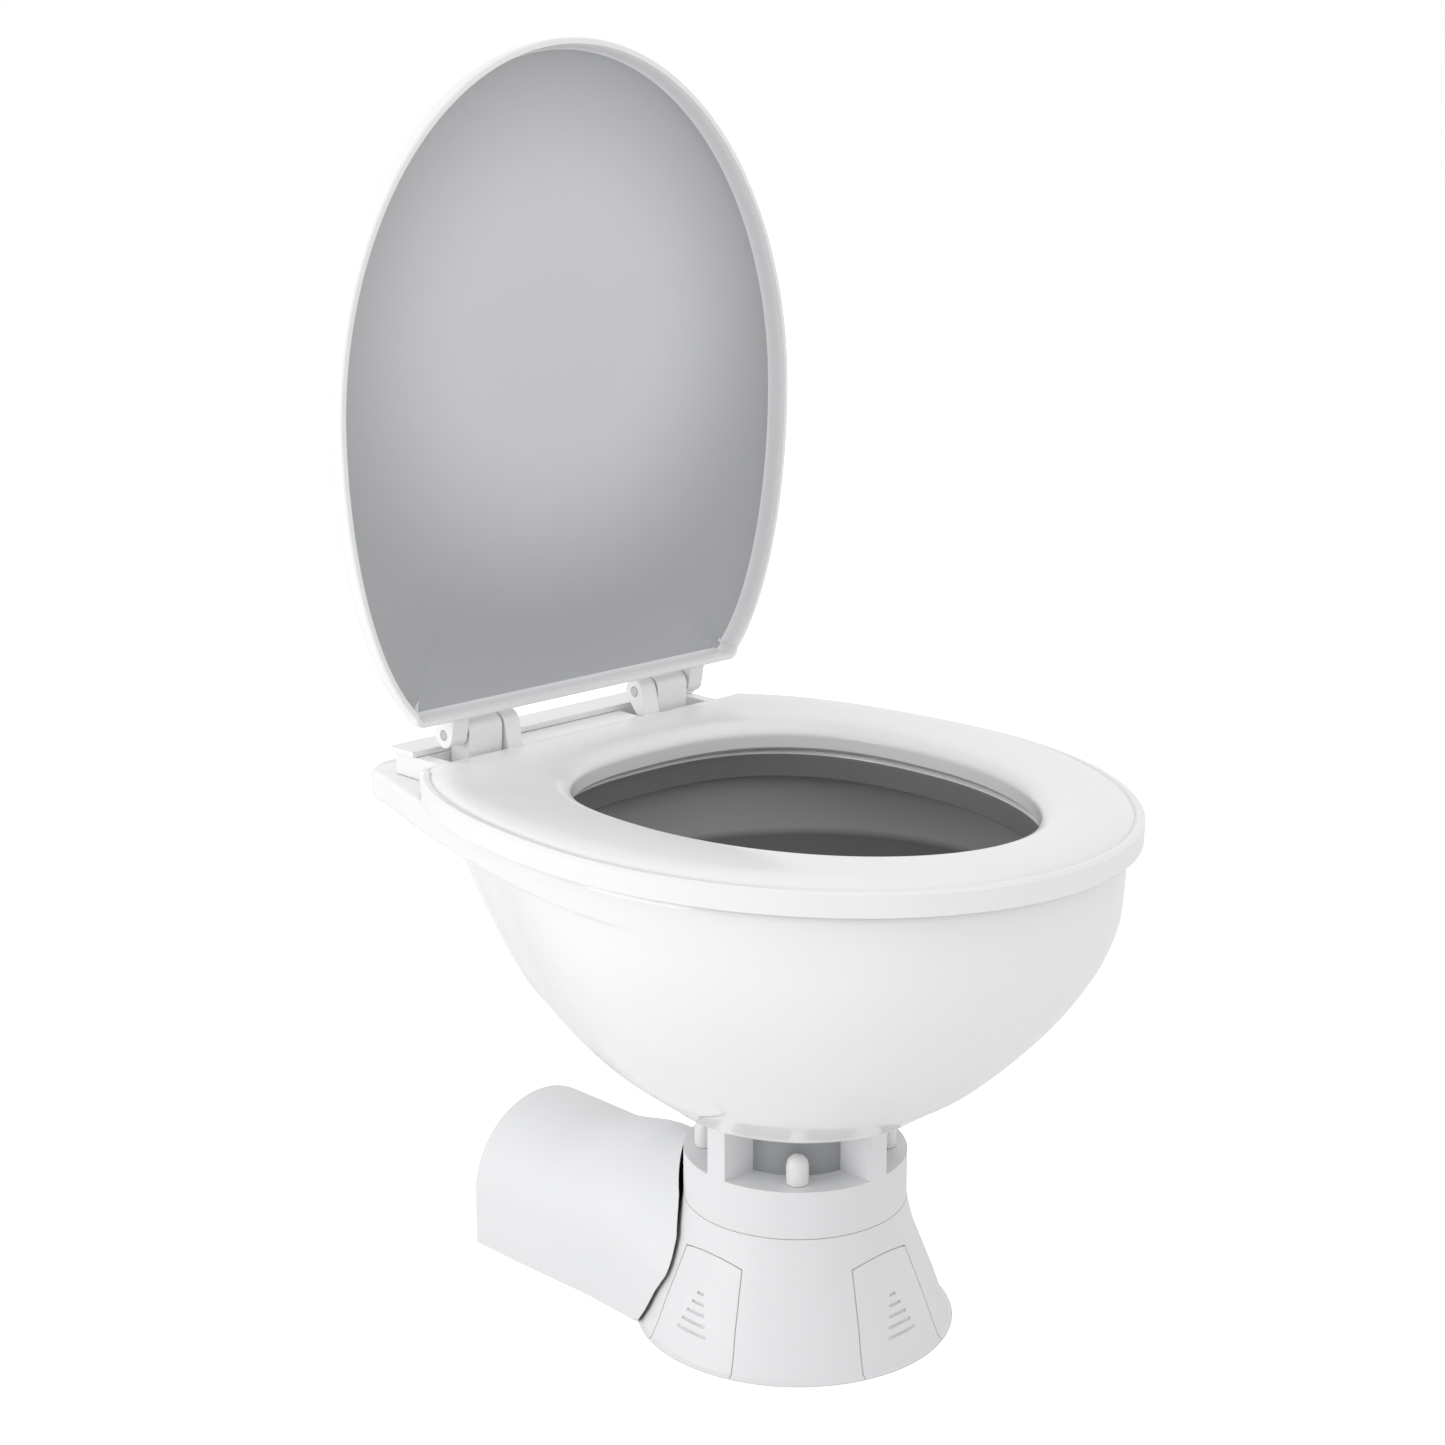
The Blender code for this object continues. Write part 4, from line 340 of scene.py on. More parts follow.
def welded(thing):
    """The welded shape that an object makes; the object goes."""
    shape = bmesh.new()
    shape.from_mesh(applied_mesh(thing))
    bpy.data.objects.remove(thing, do_unlink=True)
    bmesh.ops.remove_doubles(shape, verts=shape.verts, dist=WELD)
    return shape


def slopes(steps, rises):
    """Slopes at the points of a row that never overshoot them."""
    per_step = rises / steps[:, None, None]
    inner = []
    for before, after, near, far in zip(per_step, per_step[1:], steps, steps[1:]):
        weight = (near + 2 * far) / (3 * (near + far))
        both = before * after
        mean = both / (weight * after + (1 - weight) * before + (both <= 0))
        inner.append(np.where(both > 0, mean, 0))
    return np.array([per_step[0], *inner, per_step[-1]])


def fair(rings):
    """More rings between the given ones, on a smooth skin that passes through them."""
    rows = np.array(rings, float)
    rises = np.diff(rows, axis=0)
    steps = np.linalg.norm(rises, axis=2).mean(axis=1)
    ways = rises / np.linalg.norm(rises, axis=2)[:, :, None].clip(WELD ** 2)
    bends = [0] + [i + 1 for i in range(len(ways) - 1)
                   if (ways[i] * ways[i + 1]).sum(axis=1).mean() < SHARP_TURN_SHARE]
    bends.append(len(rows) - 1)
    made = [rows[0]]
    for start, end in zip(bends, bends[1:]):
        tilt = slopes(steps[start:end], rises[start:end])
        for i in range(start, end):
            count = int(min(max(steps[i] / RING_PITCH, 1), RINGS_BETWEEN))
            for k in range(1, count + 1):
                t = k / count
                a, b = rows[i], rows[i + 1]
                first, last = tilt[i - start] * steps[i], tilt[i - start + 1] * steps[i]
                made.append(a * (2 * t ** 3 - 3 * t ** 2 + 1) + first * (t ** 3 - 2 * t ** 2 + t)
                            + b * (3 * t ** 2 - 2 * t ** 3) + last * (t ** 3 - t ** 2))
    return made


AXIS_TURNS = {
    "Z": Matrix.Identity(4),
    "Y": Matrix.Rotation(-pi / 2, 4, "X"),  # local Z runs along +Y
    "X": Matrix.Rotation(pi / 2, 4, "Y"),  # local Z runs along +X
}


def turned(name, profile, shown=False):
    """A body turned from (radius, height) pairs, listed from its top down."""
    mesh = bpy.data.meshes.new(name)
    last = len(profile) - 1
    edges = [(i, i + 1) for i in range(last)]
    if profile[0][0] > 0:
        edges.append((last, 0))
    mesh.from_pydata([(radius, 0, height) for radius, height in profile], edges, [])
    thing = linked(name, mesh)
    screw = thing.modifiers.new("turn", "SCREW")
    screw.steps = screw.render_steps = FINE_ROUND_STEPS
    screw.use_merge_vertices = True
    screw.merge_threshold = WELD
    return place(name, welded(thing), shown)


def rod(name, radius, low, high, axis="Z", centre=(0, 0, 0), steps=ROUND_STEPS):
    """A cylinder between two stations on its axis."""
    shape = bmesh.new()
    bmesh.ops.create_cone(shape, cap_ends=True, segments=steps, radius1=radius,
                          radius2=radius, depth=high - low)
    where = (Matrix.Translation(centre) @ AXIS_TURNS[axis]
             @ Matrix.Translation((0, 0, (low + high) / 2)))
    return place(name, shape, where=where)


def box(name, low, high, shown=False, where=Matrix.Identity(4)):
    """A box between two corners."""
    low, high = Vector(low), Vector(high)
    shape = bmesh.new()
    bmesh.ops.create_cube(shape, size=1, matrix=Matrix.Diagonal((*(high - low), 1)))
    return place(name, shape, shown, where @ Matrix.Translation((low + high) / 2))


PLATE_TURNS = {
    "XZ": Matrix.Rotation(pi / 2, 4, "X"),  # outline in X and Z, thickness along Y
    "YZ": Matrix.Rotation(pi / 2, 4, "Z") @ Matrix.Rotation(pi / 2, 4, "X"),
}


def plate(name, outline, low, high, plane):
    """A flat outline given a thickness from low to high across its plane."""
    curve = bpy.data.curves.new(name, "CURVE")
    curve.dimensions = "2D"
    curve.fill_mode = "BOTH"
    curve.extrude = (high - low) / 2
    line = curve.splines.new("POLY")
    line.points.add(len(outline) - 1)
    for point, (across, up) in zip(line.points, outline):
        point.co = (across, up, 0, 1)
    line.use_cyclic_u = True
    middle = (low + high) / 2
    offsets = {"XZ": (0, middle, 0), "YZ": (middle, 0, 0)}
    where = Matrix.Translation(offsets[plane]) @ PLATE_TURNS[plane]
    return place(name, welded(linked(name, curve)), where=where)


def loft(name, rings, shown=False, closed=False):
    """A skin through rings of equally many points, closed on itself or capped."""
    shape = bmesh.new()
    loops = [[shape.verts.new(point) for point in ring] for ring in rings]
    pairs = list(zip(loops, loops[1:]))
    if closed:
        pairs.append((loops[-1], loops[0]))
    count = len(loops[0])
    for near, far in pairs:
        for i in range(count):
            j = (i + 1) % count
            shape.faces.new((near[i], near[j], far[j], far[i]))
    if not closed:
        shape.faces.new(loops[0])
        shape.faces.new(loops[-1])
    return place(name, shape, shown)


def combine(operation, body, *others):
    for other in others:
        change = body.modifiers.new(other.name, "BOOLEAN")
        change.operation = operation
        change.object = other
    return body


cut = partial(combine, "DIFFERENCE")
join = partial(combine, "UNION")
keep = partial(combine, "INTERSECT")


def smooth_step(value, start, end):
    """From 0 at start to 1 at end, level at both."""
    share = min(max((start - value) / (start - end), 0), 1)
    return share * share * (3 - 2 * share)


def blend(start, end, share):
    return start + (end - start) * share


def hull(points):
    """Corners of the smallest convex outline round some points."""
    points = sorted(set(points))
    corners = []
    for row in (points, points[::-1]):
        line = []
        for x, y in row:
            while len(line) > 1:
                (x0, y0), (x1, y1) = line[-2:]
                if (x1 - x0) * (y - y0) - (y1 - y0) * (x - x0) > 0:
                    break
                line.pop()
            line.append((x, y))
        corners += line[:-1]
    return corners


def circle(centre, radius):
    turns = [2 * pi * i / ROUND_STEPS for i in range(ROUND_STEPS)]
    return [(centre[0] + radius * cos(turn), centre[1] + radius * sin(turn)) for turn in turns]


def quarter(steps):
    return [pi / 2 * i / steps for i in range(steps)]


def plan(side, front, back_y, corner):
    """A closed outline from its tip (-Y), out along +X and round to -X.

    side(y) gives the half width behind the widest line.
    """
    half = [(side(WIDEST_Y) * sin(turn), WIDEST_Y - front * cos(turn))
            for turn in quarter(FRONT_STEPS)]
    side_end_y = back_y - corner
    rows = [blend(WIDEST_Y, side_end_y, i / SIDE_STEPS) for i in range(SIDE_STEPS)]
    half += [(side(y), y) for y in rows]
    end_x = side(side_end_y)
    half += [(end_x - corner * (1 - cos(turn)), side_end_y + corner * sin(turn))
             for turn in quarter(CORNER_STEPS)]
    half += [((end_x - corner) * (1 - i / BACK_STEPS), back_y) for i in range(BACK_STEPS)]
    return half + [(0, back_y)] + [(-x, y) for x, y in reversed(half[1:])]


def seat_side(y):
    depth = (y - WIDEST_Y) / SEAT_SIDE_DEPTH
    return SEAT_WIDTH / 2 - SEAT_SIDE_DROP * (1 - sqrt(max(1 - depth * depth, 0)))


def deck_side(y):
    depth = (y - WIDEST_Y) / (DECK_BACK_Y - WIDEST_Y)
    taper = BOWL_HALF_WIDTH - DECK_BACK_HALF_WIDTH
    return BOWL_HALF_WIDTH - taper * depth ** DECK_TAPER_POWER_SHARE


def oval(outline, half_width, front, rear, rear_power_share=2):
    """The points of an oval that lie in the same directions as an outline's."""
    points = []
    for x, y in outline:
        reach_y = y - HOLE_CENTRE_Y
        depth, power = (front, 2) if reach_y < 0 else (rear, rear_power_share)
        size = (abs(x / half_width) ** power + abs(reach_y / depth) ** power) ** (1 / power)
        points.append((x / size, HOLE_CENTRE_Y + reach_y / size))
    return points


def between(start, end, share):
    return (blend(start[0], end[0], share), blend(start[1], end[1], share))


def towards(start, end, distance):
    """A point at a distance from start on the way to end."""
    return between(start, end, distance / hypot(end[0] - start[0], end[1] - start[1]))


def inset(outline, inside, distance):
    """An outline drawn in by a distance, with its straight back edge kept straight."""
    back = max(y for _, y in outline)
    return [between(a, b, distance / (a[1] - b[1])) if back - a[1] < WELD
            else towards(a, b, distance) for a, b in zip(outline, inside)]


SEAT_OUTLINE = plan(seat_side, SEAT_FRONT, SEAT_BACK_Y, SEAT_SHOULDER)
HOLE_FRONT = HOLE_CENTRE_Y - (WIDEST_Y - SEAT_FRONT + HOLE_FRONT_RIM)
HOLE_REAR = HOLE_BACK_Y - HOLE_CENTRE_Y
HOLE_OUTLINE = oval(SEAT_OUTLINE, HOLE_WIDTH / 2, HOLE_FRONT, HOLE_REAR,
                    HOLE_REAR_POWER_SHARE)
DECK_OUTLINE = plan(deck_side, BOWL_FRONT, DECK_BACK_Y, DECK_CORNER)
KNUCKLE = circle((HINGE_Y, HINGE_Z), KNUCKLE_RADIUS)


def bowl_ring(height_share, front_share, back_share, inward=0):
    """An outer ring of the bowl between its foot and its rim."""
    z = blend(BOWL_FOOT_Z, RIM_Z, height_share)
    ring = []
    for x, y in DECK_OUTLINE:
        reach = hypot(x, y)
        rearward = smooth_step(y, -BOWL_FOOT_RADIUS, SEAT_BACK_Y)
        growth = blend(front_share, back_share, rearward)
        radius = blend(BOWL_FOOT_RADIUS, reach, growth) - inward
        ring.append((x / reach * radius, y / reach * radius, z))
    return ring


def level(outline, z):
    return [(x, y, z) for x, y in outline]


def round_ring(radius, z):
    return [(x / hypot(x, y) * radius, y / hypot(x, y) * radius, z) for x, y in DECK_OUTLINE]


def cavity_ring(height_share, reach_share):
    """A ring of the hollow between the outlet and the rim."""
    z = blend(SUMP_Z, RIM_Z - RIM_DEPTH, height_share)
    cavity = oval(DECK_OUTLINE, CAVITY_HALF_WIDTH, CAVITY_FRONT, CAVITY_REAR)
    return [(*between(near, far, reach_share), z)
            for near, far in zip(round_ring(OUTLET_RADIUS, z), cavity)]


def make_bowl():
    opening = oval(DECK_OUTLINE, OPENING_HALF_WIDTH, OPENING_FRONT, OPENING_REAR,
                   HOLE_REAR_POWER_SHARE)
    rings = [bowl_ring(*shares) for shares in BOWL_GROWTH_SHARES]
    rings.append([(x, y, RIM_Z - RIM_ROUND) for x, y, _ in bowl_ring(1, 1, 1)])
    rings.append(bowl_ring(1, 1, 1, RIM_ROUND))
    inner_edge = [towards(a, b, RIM_ROUND) for a, b in zip(opening, DECK_OUTLINE)]
    rings += [level(inner_edge, RIM_Z), level(opening, RIM_Z - RIM_ROUND),
              level(opening, RIM_Z - RIM_DEPTH)]
    rings += [cavity_ring(*shares) for shares in CAVITY_GROWTH_SHARES]
    rings.append(round_ring(OUTLET_RADIUS, BOWL_FOOT_Z))
    bowl = loft("bowl", fair(rings), SHOWN, closed=True)

    bore_start = INLET_BOSS_END_Y - INLET_BORE_DEPTH
    jet_z = INLET_Z - INLET_BORE_RADIUS + INLET_JET_RADIUS
    join(bowl, rod("inlet_boss", INLET_BOSS_RADIUS, bore_start - INLET_BOSS_RADIUS,
                   INLET_BOSS_END_Y, "Y", (0, 0, INLET_Z)))
    cut(bowl, rod("inlet_bore", INLET_BORE_RADIUS, bore_start, INLET_BOSS_END_Y + OVERRUN,
                  "Y", (0, 0, INLET_Z)),
        rod("inlet_jet", INLET_JET_RADIUS, HOLE_BACK_Y, bore_start + OVERRUN, "Y",
            (0, 0, jet_z)))
    for side, hand in SIDES:
        cut(bowl, deck_rod(f"deck_hole_{side}", hand, DECK_HOLE_RADIUS,
                           DECK_NUT_SEAT_Z - OVERRUN, RIM_Z + OVERRUN),
            deck_rod(f"deck_nut_seat_{side}", hand, WASHER_RADIUS + OVERRUN / 2,
                     DECK_NUT_SEAT_Z - DECK_CORNER * 2, DECK_NUT_SEAT_Z))
    cut_four(bowl, "bowl_bolt_hole", 0, BOWL_FOOT_Z - OVERRUN,
             BOWL_FOOT_Z + BOWL_BOLT_DEPTH + FIT)


def deck_rod(name, hand, radius, low, high):
    """An upright cutter on the axis of a hinge bolt."""
    return rod(name, radius, low, high, centre=(hand * DECK_BOLT_X, DECK_BOLT_Y, 0))


def cut_four(body, name, offset, low, high):
    """Four bolt holes on the circle of the tie bolts, the first at an angle."""
    for i in range(4):
        turn = pi / 2 * i + offset
        centre = (TIE_CIRCLE_RADIUS * cos(turn), TIE_CIRCLE_RADIUS * sin(turn), 0)
        cut(body, rod(f"{name}_{i}", TIE_RADIUS + FIT, low, high, centre=centre,
                      steps=SMALL_ROUND_STEPS))


def foot_profile():
    """The outer side of the foot from the top down, as (radius, height)."""
    flare = FOOT_RADIUS - RING_RADIUS
    return [(RING_RADIUS + flare * radius_share, FOOT_TOP_Z * height_share)
            for height_share, radius_share in reversed(FOOT_FLARE_SHARES)]


def make_foot_skin(name):
    """The flared shell of the foot with its top flange."""
    under_z = FOOT_TOP_Z - FOOT_FLANGE
    outside = foot_profile()
    inside = [(radius - FOOT_WALL, height) for radius, height in outside]
    inside[0] = (inside[0][0], under_z)
    return turned(name, [(FOOT_FLANGE_BORE, FOOT_TOP_Z), *outside, *inside[::-1],
                         (FOOT_FLANGE_BORE, under_z)], SHOWN)


def turn_to(thing, angle):
    thing.matrix_world = Matrix.Rotation(angle, 4, "Z") @ thing.matrix_world
    return thing


def cover_plate(name, angle, seam, depth):
    """A plate shaped like a screw cover, with an arched top, on its side of the foot."""
    half_foot = COVER_FOOT_HALF_WIDTH + seam
    outline = [(-half_foot, -OVERRUN), (half_foot, -OVERRUN)]
    for i in range(COVER_ARCH_STEPS + 1):
        across = 1 - 2 * i / COVER_ARCH_STEPS
        outline.append(((COVER_TOP_HALF_WIDTH + seam) * across,
                        COVER_TOP_Z + seam + COVER_ARCH * (1 - across * across)))
    return turn_to(plate(name, outline, -FOOT_RADIUS - OVERRUN, -RING_RADIUS + depth, "XZ"),
                   angle)


def make_foot():
    foot = make_foot_skin("foot")
    for side, angle in COVER_SIDES:
        cut(foot, cover_plate(f"{side}_cover_window", angle, COVER_SEAM, FOOT_WALL * 2))
    arch = circle((MOTOR_X, PUMP_Z), NOTCH_RADIUS)[:ROUND_STEPS // 2 + 1]
    arch += [(MOTOR_X - NOTCH_RADIUS, -OVERRUN), (MOTOR_X + NOTCH_RADIUS, -OVERRUN)]
    cut(foot, plate("pump_notch", arch, HOUSING_BACK_Y / 2, FOOT_RADIUS + OVERRUN, "XZ"),
        rod("discharge_hole", DISCHARGE_RADIUS + RUNNING_FIT * 2,
            DISCHARGE_START_Y - WIDE_FIT, FOOT_RADIUS + OVERRUN, "Y",
            (DISCHARGE_X, 0, PUMP_Z)))
    cut_four(foot, "foot_tie_hole", pi / 4, FOOT_TOP_Z - FOOT_FLANGE - OVERRUN,
             FOOT_TOP_Z + OVERRUN)


def make_screw_covers():
    for side, angle in COVER_SIDES:
        cover = make_foot_skin(f"{side}_screw_cover")
        keep(cover, cover_plate(f"{side}_cover_patch", angle, 0, FOOT_WALL * 3))
        for row in range(GRIP_COUNT):
            z = GRIP_LOW_Z + GRIP_PITCH * row
            half = blend(GRIP_LONGEST, GRIP_SHORTEST, row / (GRIP_COUNT - 1)) / 2
            slot = box(f"{side}_grip_{row}", (-half, -FOOT_RADIUS - OVERRUN, z),
                       (half, GRIP_SLOT - foot_radius_at(z), z + GRIP_SLOT))
            cut(cover, turn_to(slot, angle))


def foot_radius_at(z):
    rows = foot_profile()
    for (r_high, z_high), (r_low, z_low) in zip(rows, rows[1:]):
        if z_low <= z <= z_high:
            return blend(r_low, r_high, (z - z_low) / (z_high - z_low))
    return rows[-1][0]


def make_collar():
    """The ring that carries the bowl on four posts, with a pocket between each two."""
    bottom = FOOT_TOP_Z + FIT
    inner_low = COLLAR_FLOOR_Z - COLLAR_FLOOR
    collar = turned("collar", (
        (COLLAR_BORE_RADIUS, COLLAR_LIP_Z), (RING_RADIUS, COLLAR_LIP_Z),
        (RING_RADIUS, bottom), (RING_RADIUS - RING_WALL, bottom),
        (RING_RADIUS - RING_WALL, inner_low), (COLLAR_BORE_RADIUS, inner_low),
    ), SHOWN)
    cut(collar, rod("bowl_seat_recess", COLLAR_LIP_RADIUS, BOWL_FOOT_Z - FIT,
                    COLLAR_LIP_Z + OVERRUN, steps=FINE_ROUND_STEPS))
    pocket_top = COLLAR_LIP_Z + OVERRUN * 2
    pocket_edge = RING_RADIUS + OVERRUN
    pockets = turned("pockets", (
        (COLLAR_TUBE_RADIUS, pocket_top), (pocket_edge, pocket_top),
        (pocket_edge, COLLAR_FLOOR_Z), (COLLAR_TUBE_RADIUS, COLLAR_FLOOR_Z),
    ))
    half = POST_WIDTH / 2
    reach = RING_RADIUS + OVERRUN * 2
    low, high = COLLAR_FLOOR_Z - OVERRUN, COLLAR_LIP_Z + OVERRUN * 3
    cut(pockets, box("post_x", (-reach, -half, low), (reach, half, high)),
        box("post_y", (-half, -reach, low), (half, reach, high)))
    cut(collar, pockets)
    cut_four(collar, "collar_tie_hole", pi / 4, inner_low - OVERRUN, COLLAR_FLOOR_Z + OVERRUN)
    cut_four(collar, "collar_bolt_hole", 0, inner_low - OVERRUN, COLLAR_LIP_Z + OVERRUN)


def hood_section(y, wall):
    """An arched section of the hood at y, its wall inset by a thickness."""
    flare = smooth_step(y, HOOD_FLARE_START_Y, HOOD_FLARE_END_Y)
    narrow = smooth_step(y, HOOD_NARROW_START_Y, HOOD_NARROW_END_Y)
    waist = HOOD_WAIST * sin(pi * smooth_step(y, HOOD_BACK_Y, 0)) ** 2
    top = blend(HOOD_TOP_Z, HOOD_NECK_TOP_Z, flare) - wall
    half = HOOD_HALF_WIDTH - waist - wall
    half_spring = half - HOOD_DRAFT * narrow
    power = blend(HOOD_POWER_SHARE, HOOD_NECK_POWER_SHARE, narrow)
    low = -OVERRUN if wall else 0
    points = [(MOTOR_X + half, low)]
    for i in range(ROUND_STEPS + 1):
        turn = pi * i / ROUND_STEPS
        across = abs(cos(turn)) ** (2 / power) * (1 if turn < pi / 2 else -1)
        rise = sin(turn) ** (2 / power)
        points.append((MOTOR_X + half_spring * across,
                       HOOD_SPRING_Z + (top - HOOD_SPRING_Z) * rise))
    points.append((MOTOR_X - half, low))
    return [(x, y, z) for x, z in points]


def make_motor_cover():
    rows = [HOOD_BACK_Y * (1 - i / HOOD_STEPS) for i in range(HOOD_STEPS)]
    cover = loft("motor_cover", [hood_section(y, 0) for y in rows], SHOWN)
    inner_rows = [HOOD_BACK_Y - HOOD_WALL] + rows[1:]
    cut(cover, loft("hood_hollow", [hood_section(y, HOOD_WALL) for y in inner_rows]))
    low = -OVERRUN * 2
    side = [(radius + HOOD_SEAM, height) for radius, height in foot_profile()]
    cut(cover, turned("foot_clearance", [
        (0, BOWL_FOOT_Z), (RING_RADIUS + HOOD_SEAM, BOWL_FOOT_Z), *side,
        (side[-1][0], low), (0, low)]))


def seat_rings():
    """The seat's section as rings, from its outer lower edge over the top and back."""
    rows = []
    edge_round = SEAT_WALL / 2

    def from_edge(distance, z):
        rows.append(level(inset(SEAT_OUTLINE, HOLE_OUTLINE, distance), z))

    def from_hole(distance, z):
        rows.append([(*towards(b, a, distance), z) for a, b in zip(SEAT_OUTLINE, HOLE_OUTLINE)])

    crown_rise = SEAT_CROWN_Z - SEAT_SHOULDER_Z
    ceiling = SEAT_CROWN_Z - SEAT_WALL
    from_edge(0, SEAT_BAND_Z)
    from_edge(0, SEAT_SHOULDER_Z - edge_round)
    from_edge(edge_round, SEAT_SHOULDER_Z)
    from_edge(SEAT_SHOULDER - SEAT_GROOVE, SEAT_SHOULDER_Z)
    from_edge(SEAT_SHOULDER, SEAT_SHOULDER_Z - SEAT_GROOVE)
    from_edge(SEAT_SHOULDER + SEAT_GROOVE, SEAT_SHOULDER_Z + SEAT_GROOVE / 3)
    from_edge(SEAT_CROWN_START, SEAT_CROWN_Z - crown_rise / 8)
    rows.append([(*between(a, b, SEAT_CROWN_SHARE), SEAT_CROWN_Z)
                 for a, b in zip(SEAT_OUTLINE, HOLE_OUTLINE)])
    from_hole(SEAT_HOLE_ROUND, SEAT_CROWN_Z - crown_rise / 6)
    from_hole(SEAT_HOLE_ROUND / 3, SEAT_SHOULDER_Z + crown_rise / 6)
    from_hole(0, SEAT_SHOULDER_Z - SEAT_HOLE_ROUND / 3)
    from_hole(0, SEAT_BAND_Z + edge_round)
    from_hole(edge_round, SEAT_BAND_Z)
    from_hole(SEAT_WALL, SEAT_BAND_Z)
    from_hole(SEAT_HOLE_ROUND + SEAT_WALL, ceiling - crown_rise / 2)
    from_edge(SEAT_CROWN_START, ceiling - crown_rise / 2)
    from_edge(SEAT_WALL, SEAT_BAND_Z)
    return rows


def pad_places():
    """Name, middle and direction of each seat pad, on the middle of the ring."""
    places = []
    for name, angle in (("front", FRONT_PAD_ANGLE), ("rear", REAR_PAD_ANGLE)):
        for side, hand in SIDES:
            way = (hand * cos(angle), sin(angle))
            middle = (reach_along(SEAT_OUTLINE, way) + reach_along(HOLE_OUTLINE, way)) / 2
            centre = (way[0] * middle, HOLE_CENTRE_Y + way[1] * middle)
            places.append((f"{name}_{side}", centre, atan2(way[1], way[0]) + pi / 2))
    return places


def reach_along(outline, way):
    """Distance from the hole's centre to an outline, along a direction."""
    points = [(x, y - HOLE_CENTRE_Y) for x, y in outline]
    return hypot(*max(points, key=lambda p: (p[0] * way[0] + p[1] * way[1]) / hypot(*p)))


def join_lugs(name, x, low_z, high_z, root_y):
    """Joins seat or lid to its two lugs, which end in knuckles on the hinge axis."""
    outline = hull(KNUCKLE + [(root_y, low_z), (root_y, high_z)])
    for side, hand in SIDES:
        middle = hand * x
        lug = plate(f"{name}_lug_{side}", outline, middle - LUG_LENGTH / 2,
                    middle + LUG_LENGTH / 2, "YZ")
        join(MADE[name], cut(lug, pin_rod(f"{name}_lug_{side}_bore", middle,
                                          HINGE_PIN_RADIUS + FIT, LUG_LENGTH)))


def pin_rod(name, middle_x, radius, length):
    """A cutter on the hinge axis."""
    return rod(name, radius, middle_x - length, middle_x + length, "X", (0, HINGE_Y, HINGE_Z))


def make_seat():
    seat = loft("seat", fair(seat_rings()), SHOWN, closed=True)
    pad_low = RIM_Z + FIT
    half_l, half_w = PAD_LENGTH / 2, PAD_WIDTH / 2
    for name, (x, y), angle in pad_places():
        where = Matrix.Translation((x, y, 0)) @ Matrix.Rotation(angle, 4, "Z")
        join(seat, box(f"pad_boss_{name}",
                       (-half_l - PAD_FRAME, -half_w - PAD_FRAME, pad_low + PAD_HEIGHT + FIT),
                       (half_l + PAD_FRAME, half_w + PAD_FRAME, SEAT_CROWN_Z - SEAT_WALL / 2),
                       where=where))
        round_upright_edges(box(f"seat_pad_{name}", (-half_l, -half_w, pad_low),
                                (half_l, half_w, pad_low + PAD_HEIGHT), SHOWN, where),
                            PAD_WIDTH / 4)
    join_lugs("seat", SEAT_LUG_X, SEAT_BAND_Z + RUNNING_FIT, SEAT_BAND_Z + SEAT_LUG_ROOT,
              SEAT_BACK_Y - SEAT_WALL / 2)


def round_upright_edges(thing, radius):
    """Rounds the four upright edges of a box."""
    bevel = thing.modifiers.new("round", "BEVEL")
    bevel.width = radius
    bevel.segments = 2
    bevel.limit_method = "WEIGHT"
    mesh = thing.data
    weights = mesh.attributes.new("bevel_weight_edge", "FLOAT", "EDGE")
    for edge, weight in zip(mesh.edges, weights.data):
        a, b = (mesh.vertices[i].co for i in edge.vertices)
        weight.value = float(abs(a.z - b.z) > FIT)


def lid_rings():
    """The lid from the middle of its top, over the rim, to the middle below."""
    outline = plan(lambda y: seat_side(y) - LID_INSET, SEAT_FRONT + LID_NOSE,
                   SEAT_BACK_Y - RUNNING_FIT, SEAT_SHOULDER)
    middle = [(0, HOLE_CENTRE_Y)] * len(outline)
    depth = LID_TOP_Z - LID_RIM_Z
    rows = []

    def row(distance, z):
        rows.append(level(inset(outline, middle, distance), z))

    def share_row(share, z):
        rows.append([(*between(a, b, share), z) for a, b in zip(outline, middle)])

    lip = LID_WALL / 4
    for inward, share in LID_CROWN_SHARES:
        share_row(inward, LID_TOP_Z - depth * share)
    for inward, share in LID_SIDE_SHARES:
        row(depth * inward, LID_TOP_Z - depth * share)
    row(0, LID_RIM_Z + lip)
    row(lip, LID_RIM_Z)
    row(LID_WALL, LID_RIM_Z)
    for inward, share in LID_INNER_SHARES:
        row(LID_WALL + lip + depth * inward, LID_TOP_Z - depth * share)
    for inward, share in reversed(LID_CROWN_SHARES):
        share_row(inward, LID_TOP_Z - depth * share - LID_WALL)
    return rows


def make_lid():
    loft("lid", fair(lid_rings()), SHOWN)
    join_lugs("lid", LID_LUG_X, LID_RIM_Z + LID_WALL / 2, LID_RIM_Z + LID_LUG_ROOT,
              SEAT_BACK_Y - LID_WALL)


